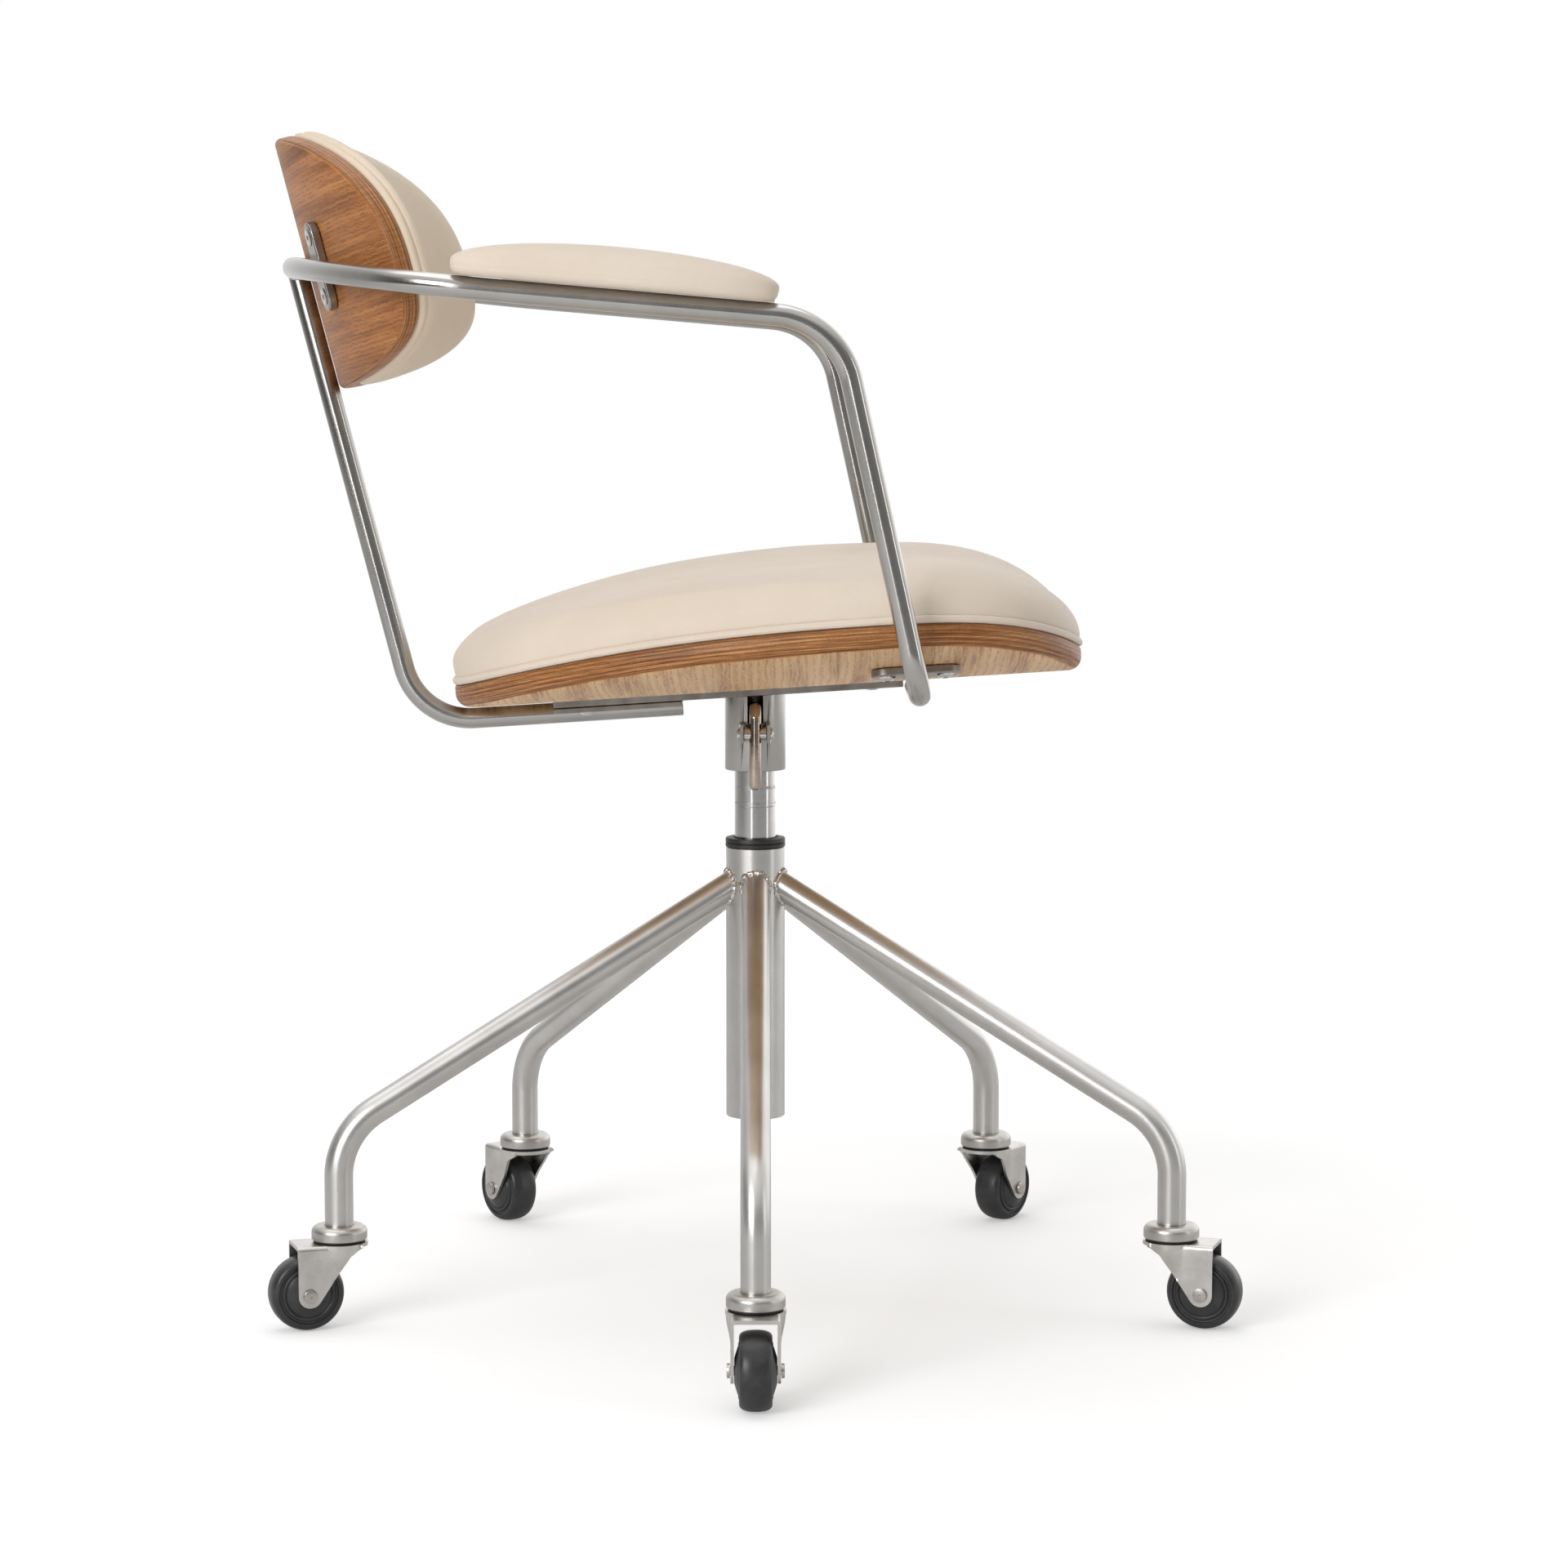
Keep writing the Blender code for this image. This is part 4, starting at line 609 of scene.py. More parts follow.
def mesh(name, points, faces, layer, corners, depths=()):
    """A mesh with flat coordinates for its faces' corners, and with its faces turned out."""
    made = bpy.data.meshes.new(name)
    made.from_pydata([tuple(point) for point in points], [], faces)
    flat = [value for pairs in corners for pair in pairs for value in pair]
    made.uv_layers.new(name=layer).data.foreach_set("uv", flat)
    if depths:
        made.attributes.new("depth", "FLOAT", "POINT").data.foreach_set("value", depths)
    work = bmesh.new()
    work.from_mesh(made)
    bmesh.ops.recalc_face_normals(work, faces=work.faces)
    work.to_mesh(made)
    work.free()
    return smoothed(made)


def skin(name, rings, around, ring_shaped=False):
    """A body from rings of points, with coordinates in metres round it and along it."""
    count = len(rings[0])
    last = len(rings) - 1
    spans = [(low, low + 1) for low in range(last)]
    if ring_shaped:
        spans.append((last, 0))
    places = [around * i / count for i in range(count + 1)]
    faces = []
    corners = []
    along = 0.0
    for low, high in spans:
        ahead = along + (Vector(rings[high][0]) - Vector(rings[low][0])).length
        for i in range(count):
            j = (i + 1) % count
            faces.append((low * count + i, low * count + j, high * count + j, high * count + i))
            left, right = places[i:i + 2]
            corners.append([(left, along), (right, along), (right, ahead), (left, ahead)])
        along = ahead
    if not ring_shaped:
        for ring, height in ((0, 0.0), (last, along)):
            faces.append(tuple(range(ring * count, (ring + 1) * count)))
            corners.append([(place, height) for place in places[:-1]])
    return mesh(name, [point for ring in rings for point in ring], faces, "lie", corners)


def full_turn(count):
    """Even angles round a full turn."""
    return [TURN * i / count for i in range(count)]


def quarter_turn(count):
    """Even angles from nothing to a quarter turn."""
    return [QUARTER * i / count for i in range(count + 1)]


def turned(name, profile, segments=FINE):
    """A profile of (radius, height) points turned about Z. Off the axis, it makes a ring."""
    rings = [[(x, y, z) for x, y in circle(radius, segments)] for radius, z in profile]
    widest = max(radius for radius, z in profile)
    return skin(name, rings, TURN * widest, ring_shaped=profile[0][0] > 2 * AXIS_R)


def softened(profile, radius, steps=2):
    """A profile with each inner corner rounded."""
    made = [profile[0]]
    for before, corner, after in zip(profile, profile[1:], profile[2:]):
        here = Vector(corner)
        back = Vector(before) - here
        ahead = Vector(after) - here
        reach = min(radius, back.length * 0.45, ahead.length * 0.45)
        start = here + back.normalized() * reach
        end = here + ahead.normalized() * reach
        for i in range(steps + 1):
            share = i / steps
            point = start * (1 - share) ** 2 + here * (2 * share * (1 - share)) + end * share ** 2
            made.append(tuple(point))
    made.append(profile[-1])
    return made


def arc(centre, radius, start, end, steps):
    """Points along an arc in a plane, angles in radians."""
    angles = [start + (end - start) * i / steps for i in range(steps + 1)]
    return [(centre[0] + radius * math.cos(a), centre[1] + radius * math.sin(a)) for a in angles]


def circle(radius, steps):
    """Points round a full circle."""
    return arc((0, 0), radius, 0, TURN, steps)[:-1]


def rounded_path(corners, radii):
    """A path through corners, each inner one rounded to its radius."""
    corners = [Vector(corner) for corner in corners]
    made = [corners[0]]
    for before, corner, after, radius in zip(corners, corners[1:], corners[2:], radii):
        back = (before - corner).normalized()
        ahead = (after - corner).normalized()
        half = back.angle(ahead) / 2
        centre = corner + (back + ahead).normalized() * (radius / math.sin(half))
        spoke = corner + back * (radius / math.tan(half)) - centre
        axis = back.cross(ahead).normalized()
        for i in range(BEND_STEPS + 1):
            turn = Matrix.Rotation((2 * half - math.pi) * i / BEND_STEPS, 3, axis)
            made.append(centre + turn @ spoke)
    made.append(corners[-1])
    return made


def path_rings(path, radii, segments, closed=False):
    """Rings square to a path, carried along it without twist."""
    count = len(path)
    ahead = (path[1] - path[0]).normalized()
    side = ahead.orthogonal().normalized()
    rings = []
    for i, point in enumerate(path):
        before = (point - path[i - 1]).normalized() if i or closed else ahead
        after = (path[(i + 1) % count] - point).normalized() if i + 1 < count or closed else before
        along = (before + after).normalized()
        side = (side - along * side.dot(along)).normalized()
        up = along.cross(side)
        rings.append([point + (side * math.cos(angle) + up * math.sin(angle)) * radii[i]
                      for angle in full_turn(segments)])
    return rings


def tube(name, path, radius, end_round=0.0):
    """A round bar along a path, its ends square or rounded over."""
    path = [Vector(point) for point in path]
    radii = [radius] * len(path)
    if end_round:
        first = (path[1] - path[0]).normalized()
        last = (path[-1] - path[-2]).normalized()
        insets = [end_round * (1 - math.cos(turn)) for turn in quarter_turn(EDGE_STEPS)]
        ends = [radius - end_round * (1 - math.sin(turn)) for turn in quarter_turn(EDGE_STEPS)]
        start = [path[0] + first * inset for inset in insets]
        end = [path[-1] - last * inset for inset in insets[::-1]]
        path = start + path[1:-1] + end
        radii = ends + radii[2:] + ends[::-1]
    return skin(name, path_rings(path, radii, TUBE_SEGMENTS), TURN * radius)


def bead(name, path, radius, seed, lumps=WELD_LUMP):
    """A closed bead along a curve, uneven as a weld is."""
    dice = random.Random(seed)
    path = [Vector(point) for point in path]
    radii = [radius * (1 + lumps * (2 * dice.random() - 1)) for _ in path]
    rings = path_rings(path, radii, BEAD_SEGMENTS, closed=True)
    return skin(name, rings, TURN * radius, ring_shaped=True)


def plate(name, outline, low, high):
    """A flat plate from an outline of (x, y) points."""
    return skin(name, [[(x, y, z) for x, y in outline] for z in (low, high)], PLATE_LIE)


def box_plate(name, x_low, x_high, y_low, y_high, low, high):
    """A flat plate with four corners."""
    outline = [(x_low, y_low), (x_high, y_low), (x_high, y_high), (x_low, y_high)]
    return plate(name, outline, low, high)


def stadium(length, width):
    """A plate outline with two round ends, long along X."""
    offset = (length - width) / 2
    front = arc((offset, 0), width / 2, -QUARTER, QUARTER, BEND_STEPS)
    rear = arc((-offset, 0), width / 2, QUARTER, 3 * QUARTER, BEND_STEPS)
    return front + rear


def linked(name, data):
    """A new object in the scene."""
    made = bpy.data.objects.new(name, data)
    bpy.context.collection.objects.link(made)
    return made


def shown(name, data, body, look, place=CHAIR, replaces=()):
    """A piece set in place, riding on a body and standing for the nodes that it replaces."""
    made = linked(name, data)
    made.matrix_world = place
    if not data.materials:
        data.materials.append(look.material)
    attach(made, body)
    if replaces:
        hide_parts(*replaces)
    return made


def bevelled(piece, width=PLATE_BEVEL):
    """Break the sharp edges of a piece."""
    step = piece.modifiers.new("edge_break", "BEVEL")
    step.width = width
    step.segments = 2
    step.limit_method = "ANGLE"
    step.angle_limit = SMOOTH_ANGLE
    step.harden_normals = True


def shaped(name, data, steps):
    """A mesh after joining, cutting or crossing it with others, each given as (mesh, operation)."""
    body = linked(name, data)
    tools = []
    for other, operation in steps:
        tool = linked(name + "_tool", other)
        step = body.modifiers.new("cut", "BOOLEAN")
        step.operation = operation
        step.object = tool
        step.solver = "EXACT"
        tools.append(tool)
    bpy.context.view_layer.update()
    graph = bpy.context.evaluated_depsgraph_get()
    made = bpy.data.meshes.new_from_object(body.evaluated_get(graph))
    made.name = name
    for tool in [body] + tools:
        bpy.data.objects.remove(tool)
    return smoothed(made)

def superellipse(angle, powers):
    """How far a rounded outline reaches in a direction, as a share of its ellipse's axes."""
    power = powers[0] if math.cos(angle) >= 0 else powers[1]
    total = abs(math.cos(angle)) ** power + abs(math.sin(angle)) ** power
    return total ** (-1 / power)


def sheet_place(form, angle, scale, inset):
    """(along, across) of a point of a form's outline, scaled about its widest place."""
    reach = superellipse(angle, form.powers)
    length = form.lengths[0 if math.cos(angle) >= 0 else 1] * scale - inset
    width = form.half_width * scale - inset
    return form.centre + reach * math.cos(angle) * length, reach * math.sin(angle) * width


def seat_point(along, across, depth):
    """A point of the seat's bent sheet, depth measured up from its underside."""
    angle = across / SEAT_BEND_R
    radius = SEAT_BEND_R - depth
    return (along, radius * math.sin(angle), SEAT_SHELL_Z + SEAT_BEND_R - radius * math.cos(angle))


def back_point(along, across, depth):
    """A point of the back's bent sheet, depth measured forward from its rear face."""
    angle = across / BACK_BEND_R
    radius = BACK_BEND_R - depth
    return (BACK_BEND_R - radius * math.cos(angle), radius * math.sin(angle), along)


def pad_point(along, across, depth):
    """A point over an arm pad's flat underside."""
    return (along, across, depth)


def eased(share):
    """A share from 0 to 1 that starts and ends gently."""
    share = min(1.0, max(0.0, share))
    return share * share * (3 - 2 * share)


def seat_fade(angle):
    """How much of the seat's shoulder there is, least at the rear and none at the front."""
    along = sheet_place(SEAT_FORM, angle, 1, 0)[0]
    front = eased((SEAT_SHOULDER_FRONT_X - along) / SEAT_SHOULDER_FADE)
    rear = eased((along - SEAT_SHOULDER_REAR_X) / SEAT_SHOULDER_FADE)
    return front * (SEAT_SHOULDER_REST + (1 - SEAT_SHOULDER_REST) * rear)


# Each cushion with its outline, its shell, its foot and dome, and how far it swells
SEAT_FORM = SimpleNamespace(
    lengths=(SEAT_FRONT_L, SEAT_REAR_L), half_width=SEAT_HALF_W, centre=SEAT_WIDEST_X,
    powers=(SEAT_FRONT_POWER, SEAT_REAR_POWER), point=seat_point, grid=SEAT_GRID,
    ply=SEAT_PLY_T, under_round=SEAT_UNDER_ROUND, base=SEAT_PLY_T + GAP, foot=SEAT_FOOT,
    crown=SEAT_CROWN, wall=lambda angle: SEAT_WALL - SEAT_WALL_SWING * math.cos(angle),
    shoulder=SEAT_SHOULDER, shoulder_turn=SEAT_SHOULDER_TURN, fade=seat_fade, swell=SEAT_SWELL, fill=0.85)
BACK_FORM = SimpleNamespace(
    lengths=(BACK_TOP_L, BACK_LOW_L), half_width=BACK_HALF_ARC, centre=BACK_WIDEST_Z,
    powers=(BACK_TOP_POWER, BACK_LOW_POWER), point=back_point, grid=BACK_GRID,
    ply=BACK_PLY_T, under_round=BACK_UNDER_ROUND, base=BACK_PLY_T + GAP, foot=BACK_FOOT,
    crown=BACK_CROWN, wall=lambda angle: BACK_WALL,
    shoulder=BACK_SHOULDER, shoulder_turn=BACK_SHOULDER_TURN, fade=lambda angle: 1.0, swell=BACK_SWELL,
    fill=0.85)
PAD_FORM = SimpleNamespace(
    lengths=(PAD_HALF_L, PAD_HALF_L), half_width=PAD_HALF_W, centre=0.0,
    powers=(PAD_POWER, PAD_POWER), point=pad_point, grid=PAD_GRID, base=0.0, foot=PAD_FOOT,
    crown=PAD_CROWN, wall=lambda angle: PAD_WALL,
    shoulder=0.0, shoulder_turn=QUARTER, fade=lambda angle: 0.0, swell=PAD_SWELL, fill=0.8)


def disc(count):
    """A grid of quads on a unit disc: each point's (angle, radius), the quads, and the rim in order."""
    places = []
    for j in range(count + 1):
        for i in range(count + 1):
            s = 2 * i / count - 1
            t = 2 * j / count - 1
            x = s * math.sqrt(1 - t * t / 2)
            y = t * math.sqrt(1 - s * s / 2)
            places.append((math.atan2(y, x), math.hypot(x, y)))
    wide = count + 1
    quads = [(j * wide + i, j * wide + i + 1, (j + 1) * wide + i + 1, (j + 1) * wide + i)
             for j in range(count) for i in range(count)]
    rim = list(range(count))
    rim += [j * wide + count for j in range(count)]
    rim += [count * wide + count - i for i in range(count)]
    rim += [(count - j) * wide for j in range(count)]
    return places, quads, rim


def pillow(name, form, low, sides, high):
    """A closed body over a form's outline: a low grid, rings up its side, and a high grid.

    low and high give (scale, inset, depth) for a radius and angle, and each side ring for an angle.
    """
    places, quads, rim = disc(form.grid)
    sheet = []
    depths = []
    points = []

    def put(angle, scale, inset, depth):
        along, across = sheet_place(form, angle, scale, inset)
        points.append(form.point(along, across, depth))
        sheet.append((along, across))
        depths.append(depth)
        return len(points) - 1

    for angle, radius in places:
        put(angle, *low(radius, angle))
    faces = list(quads)
    before = rim
    for side in sides:
        ring = [put(places[k][0], *side(places[k][0])) for k in rim]
        faces.extend((before[i - 1], before[i], ring[i], ring[i - 1]) for i in range(len(ring)))
        before = ring
    on_rim = dict(zip(rim, before))
    index = []
    for k, (angle, radius) in enumerate(places):
        index.append(on_rim[k] if k in on_rim else put(angle, *high(radius, angle)))
    faces.extend(tuple(index[k] for k in quad) for quad in quads)
    return mesh(name, points, faces, "sheet", [[sheet[k] for k in face] for face in faces], depths)


def fixed(inset, depth):
    """A side ring that is the same all round."""
    return lambda angle: (1, inset, depth)


def shell(name, form, look, place, node):
    """A bent ply sheet with a slightly broken upper edge and a rounded lower edge."""
    lower = form.under_round
    upper = PLY_EDGE_ROUND
    sides = [fixed(lower * (1 - math.sin(turn)), lower * (1 - math.cos(turn)))
             for turn in quarter_turn(EDGE_STEPS)[1:]]
    wall = form.ply - upper - lower
    sides += [fixed(0, lower + wall * share) for share in (0.33, 0.66, 1)]
    sides += [fixed(upper * (1 - math.cos(turn)), form.ply - upper * (1 - math.sin(turn)))
              for turn in quarter_turn(EDGE_STEPS // 2)[1:]]

    def low(radius, angle):
        return radius, lower * radius, 0.0

    def high(radius, angle):
        return radius, upper * radius, form.ply

    shown(name, pillow(name, form, low, sides, high), "seat", look, place, [node])


def spots(data):
    """A mesh's points, one a row."""
    flat = np.empty(len(data.vertices) * 3, np.float32)
    data.vertices.foreach_get("co", flat)
    return flat.reshape(-1, 3)


def swell(piece, held, limit):
    """Let the leather swell between its held edges as over pressed foam, no further than the limit."""
    before = spots(piece.data)
    group = piece.vertex_groups.new(name="held")
    group.add(list(range(held)), 1.0, "REPLACE")
    cloth = piece.modifiers.new("swell", "CLOTH")
    settings = cloth.settings
    settings.vertex_group_mass = "held"
    settings.use_pressure = True
    settings.uniform_pressure_force = SWELL_PRESSURE
    settings.effector_weights.gravity = 0.0
    settings.quality = SWELL_QUALITY
    cloth.point_cache.frame_start = 1
    cloth.point_cache.frame_end = SWELL_FRAMES
    scene = bpy.context.scene
    for step in range(1, SWELL_FRAMES + 1):
        scene.frame_set(step)
    swollen = piece.evaluated_get(bpy.context.evaluated_depsgraph_get())
    shift = spots(swollen.data) - before
    piece.modifiers.remove(cloth)
    piece.vertex_groups.remove(group)
    scene.frame_set(1)
    length = np.linalg.norm(shift, axis=1, keepdims=True)
    pressed = shift * limit / (limit + length)
    piece.data.vertices.foreach_set("co", (before + pressed).ravel())
    piece.data.update()


def cushion(name, form, look, place, node):
    """A leather cushion in place of its plain solid: flat below, a foot of given rings, then a dome."""

    def skin_at(turn, angle):
        """Where the dome is at a turn from its side (0) to its top (a quarter), with its shoulder."""
        spread = SHOULDER_BELOW if turn < form.shoulder_turn else SHOULDER_ABOVE
        out = form.shoulder * math.exp(-abs(turn - form.shoulder_turn) / spread) * form.fade(angle)
        wall = form.wall(angle)
        depth = form.base + wall + (form.crown - wall) * math.sin(turn)
        return math.cos(turn), -out * math.cos(turn), depth + out * math.sin(turn)

    def low(radius, angle):
        return radius, form.foot[0][0] * radius, form.base

    def high(radius, angle):
        return skin_at(math.acos(radius * math.cos(DOME_GRID_TURN)), angle)

    sides = [fixed(inset, form.base + rise) for inset, rise in form.foot]
    held = (form.grid + 1) ** 2 + 4 * form.grid * len(sides)
    turns = [DOME_GRID_TURN * i / DOME_STEPS for i in range(DOME_STEPS + 1)]
    sides += [lambda angle, turn=turn: skin_at(turn, angle) for turn in turns]
    made = shown(name, pillow(name, form, low, sides, high), "seat", look, place, [node])
    swell(made, held, form.swell)
    step = made.modifiers.new("smooth", "SUBSURF")
    step.levels = 1
    step.render_levels = 1


def make_seat():
    """The seat's shell and cushion, and the piping round it."""
    shell("seat_ply", SEAT_FORM, SEAT_OAK, SEAT, "seat_shell")
    cushion("seat_upholstery", SEAT_FORM, LEATHER, SEAT, "seat_cushion")
    rise = SEAT_FORM.base + WELT_R
    path = [seat_point(*sheet_place(SEAT_FORM, angle, 1, WELT_R - WELT_OUT), rise)
            for angle in full_turn(4 * SEAT_GRID)]
    shown("seat_welt", bead("seat_welt", path, WELT_R, 1, WELT_LUMP), "seat", LEATHER, SEAT)


def make_back():
    """The back's shell and cushion."""
    shell("back_ply", BACK_FORM, BACK_OAK, BACK, "back_shell")
    # The back cushion wears the leather copy with painted warm shade
    cushion("back_upholstery", BACK_FORM, BACK_LEATHER_PAINTED_WARM_SHADE, BACK, "back_cushion")


def make_pads():
    """The leather pads on the arms."""
    lean = math.atan(ARM_FALL)
    rear_x = PAD_X - PAD_HALF_L
    rear_lift = arm_height(rear_x) - ARM_Z + ARM_FALL * rear_x
    height = ARM_Z - ARM_FALL * PAD_X + (ROD_R + GAP) / math.cos(lean) + rear_lift
    for side, name in SIDES:
        place = CHAIR @ set_at((PAD_X, side * ARM_HALF_W, height), (0, lean, 0))
        cushion("arm_leather_" + name, PAD_FORM, LEATHER, place, "arm_pad_" + name)


def arm_height(x):
    """Height of the loop's centre line, which falls to the front and lifts at the rear."""
    return ARM_Z - ARM_FALL * x + ARM_RISE * max(0.0, ARM_RISE_X - x) ** 2


def loop_plan():
    """The right half of the loop seen from above, from the arm to the middle of the back."""
    centre_x = LOOP_REAR_X + LOOP_REAR_R
    corner_y = ARM_HALF_W - LOOP_CORNER_R
    reach = LOOP_REAR_R - LOOP_CORNER_R
    corner_x = centre_x - math.sqrt(reach ** 2 - corner_y ** 2)
    meet = math.asin(corner_y / reach) - math.pi
    shares = [i / EDGE_STEPS for i in range(EDGE_STEPS)]
    straight = [(ARM_RISE_X + (corner_x - ARM_RISE_X) * share, -ARM_HALF_W) for share in shares]
    corner = arc((corner_x, -corner_y), LOOP_CORNER_R, -QUARTER, meet, BEND_STEPS)
    rear = arc((centre_x, 0), LOOP_REAR_R, meet, -math.pi, BEND_STEPS)
    return straight + corner + rear[1:]


def loop_path():
    """The loop from the right foot round the back to the left foot."""
    across = -SEAT_BEND_R * math.asin(SIDE_BRACKET_Y / SEAT_BEND_R)
    weld = SEAT_IN_CHAIR @ Vector(seat_point(SIDE_BRACKET_X, across, -GAP - SIDE_BRACKET_T))
    foot_z = weld.z - ROD_R - WELD_SINK
    plan = [Vector((x, y, arm_height(x))) for x, y in loop_plan()]
    corners = [(weld.x, weld.y + FOOT_PAST_WELD, foot_z), (weld.x, -ARM_HALF_W, foot_z),
               (LOOP_FRONT_X, -ARM_HALF_W, arm_height(LOOP_FRONT_X)), plan[0]]
    right = rounded_path(corners, [FOOT_BEND_R, LOOP_FRONT_BEND_R]) + plan[1:]
    left = [Vector((point.x, -point.y, point.z)) for point in right[-2::-1]]
    return right + left


def back_origin():
    """Where the back stands, so that its brackets fill the space between shell and loop."""
    radius = BACK_BEND_R + GAP + BACK_BRACKET_T - WELD_SINK + ROD_R
    turn = math.asin(BACK_BRACKET_Y / BACK_BEND_R)
    y = radius * math.sin(turn)
    x = LOOP_REAR_X + LOOP_REAR_R - math.sqrt(LOOP_REAR_R ** 2 - y ** 2)
    depth = BACK_BEND_R - radius * math.cos(turn)
    forward = Vector((math.cos(BACK_TILT), 0, math.sin(BACK_TILT)))
    up = Vector((-math.sin(BACK_TILT), 0, math.cos(BACK_TILT)))
    return Vector((x, 0, arm_height(x))) - forward * depth + up * BACK_RISE


def make_frame():
    """The arm loop, the rear rod with its weld, and the flat bar and its plate."""
    path = loop_path()
    shown("arm_rod", tube("arm_rod", path, ROD_R, ARM_END_ROUND), "seat", STEEL, replaces=["arm_loop"])
    top = path[len(path) // 2]
    plate_z = -GAP - REAR_PLATE_T
    rod_z = plate_z - GAP - ROD_FLAT_RISE
    line_z = SEAT_BAR_Z + rod_z / math.cos(SEAT_TILT)
    fall = math.tan(REAR_ROD_LEAN)
    rise = math.tan(SEAT_TILT)
    corner_x = (top.x + fall * (top.z - line_z)) / (1 + fall * rise)
    front = SEAT_IN_CHAIR @ Vector((REAR_PLATE_FRONT_X, 0, rod_z))
    bend = rounded_path([top, (corner_x, 0, line_z + rise * corner_x), front], [REAR_ROD_BEND_R])
    flat = box_plate("flat", SEAT_BAR_REAR_X - GAP, REAR_PLATE_FRONT_X + ROD_R, -2 * ROD_R, 2 * ROD_R,
                     plate_z - GAP, 2 * ROD_R)
    flat.transform(SEAT_IN_CHAIR)
    rod = shaped("rear_upright", tube("rear_upright", bend, ROD_R, REAR_END_ROUND), [(flat, "DIFFERENCE")])
    shown("rear_upright", rod, "seat", STEEL, replaces=["rear_rod"])
    lean = Matrix.Rotation(-REAR_ROD_LEAN, 3, "Y")
    joint = [top + lean @ Vector((x, y, -abs(y))) for x, y in circle(ROD_R, FINE)]
    shown("rear_rod_weld", bead("rear_rod_weld", joint, ROD_WELD_R, 3), "seat", WELD)

    half = SEAT_BAR_W / 2
    for name, front_x, low, high, node in (
            ("flat_bar", SEAT_BAR_FRONT_X, 0, SEAT_BAR_T, "seat_bar"),
            ("bar_plate", REAR_PLATE_FRONT_X, plate_z, -GAP, "rear_plate")):
        flat = box_plate(name, SEAT_BAR_REAR_X, front_x, -half, half, low, high)
        bevelled(shown(name, flat, "seat", PLATE_STEEL, SEAT, [node]))


def screw_mesh(name, crown, rise):
    """A screw with a hexagon socket, from its head's section. Its seat is at z = 0 and its top below."""
    body = turned(name, [(AXIS_R, SCREW_R), (SCREW_R, SCREW_R)] + crown, SCREW_SEGMENTS)
    key = plate("hex", circle(HEX_R, 6), -rise - HEX_DEEP, -rise + HEX_DEEP)
    return shaped(name, body, [(key, "DIFFERENCE")])


def screw(node, head, place, spot):
    """A screw's head in place of its plain solid."""
    shown(node + "_head", head, "seat", CHROME, place @ set_at(spot), [node])


def make_brackets():
    """The brackets under the seat and behind the back, and every screw."""
    crown = [(SCREW_R, 0)]
    crown += [(SCREW_HEAD_R * math.cos(turn), -SCREW_HEAD_T * math.sin(turn))
              for turn in quarter_turn(CORNER_STEPS)[:-1]]
    domed = screw_mesh("domed_head", crown + [(AXIS_R, -SCREW_HEAD_T)], SCREW_HEAD_T)
    edge = [(SCREW_HEAD_R, 0), (SCREW_HEAD_R - FLUSH_EDGE, -FLUSH_RISE), (AXIS_R, -FLUSH_RISE)]
    flush = screw_mesh("flush_head", edge, 0.0)
    side_plate = plate("side_plate", stadium(SIDE_BRACKET_L, SIDE_BRACKET_W), -SIDE_BRACKET_T, 0)
    back_plate = plate("back_plate", stadium(BACK_BRACKET_L, BACK_BRACKET_W), -BACK_BRACKET_T, 0)
    for side, name in SIDES:
        turn = side * math.asin(SIDE_BRACKET_Y / SEAT_BEND_R)
        place = SEAT @ set_at(seat_point(SIDE_BRACKET_X, turn * SEAT_BEND_R, -GAP), (turn, 0, 0))
        bevelled(shown("side_plate_" + name, side_plate, "seat", PLATE_STEEL, place,
                       ["side_bracket_" + name]))
        for end, x in (("front", SIDE_SCREW_PITCH / 2), ("rear", -SIDE_SCREW_PITCH / 2)):
            screw("side_screw_" + name + "_" + end, domed, place, (x, 0, -SIDE_BRACKET_T))
        turn = side * math.asin(BACK_BRACKET_Y / BACK_BEND_R)
        place = BACK @ set_at(back_point(BACK_BRACKET_Z, turn * BACK_BEND_R, -GAP), (0, QUARTER, -turn))
        bevelled(shown("back_plate_" + name, back_plate, "seat", BRACKET_STEEL, place,
                       ["back_bracket_" + name]), BRACKET_BEVEL)
        for end, x in (("top", -BACK_SCREW_PITCH / 2), ("low", BACK_SCREW_PITCH / 2)):
            screw("back_screw_" + name + "_" + end, flush, place, (x, 0, -BACK_BRACKET_T - FLUSH_PROUD))
    screw("bar_screw_front", domed, SEAT, (BAR_SCREW_FRONT_X, 0, 0))
    screw("bar_screw_rear", domed, SEAT, (BAR_SCREW_REAR_X, BAR_SCREW_REAR_Y, -GAP - REAR_PLATE_T))


def pin(name, radius, low, high):
    """A plain round bar along Z, to cut a hole with."""
    return turned(name, [(AXIS_R, low), (radius, low), (radius, high), (AXIS_R, high)], SMALL_SEGMENTS)


def mirrored(profile):
    """A profile with its mirror image below it."""
    return [(radius, -z) for radius, z in profile[::-1]] + profile


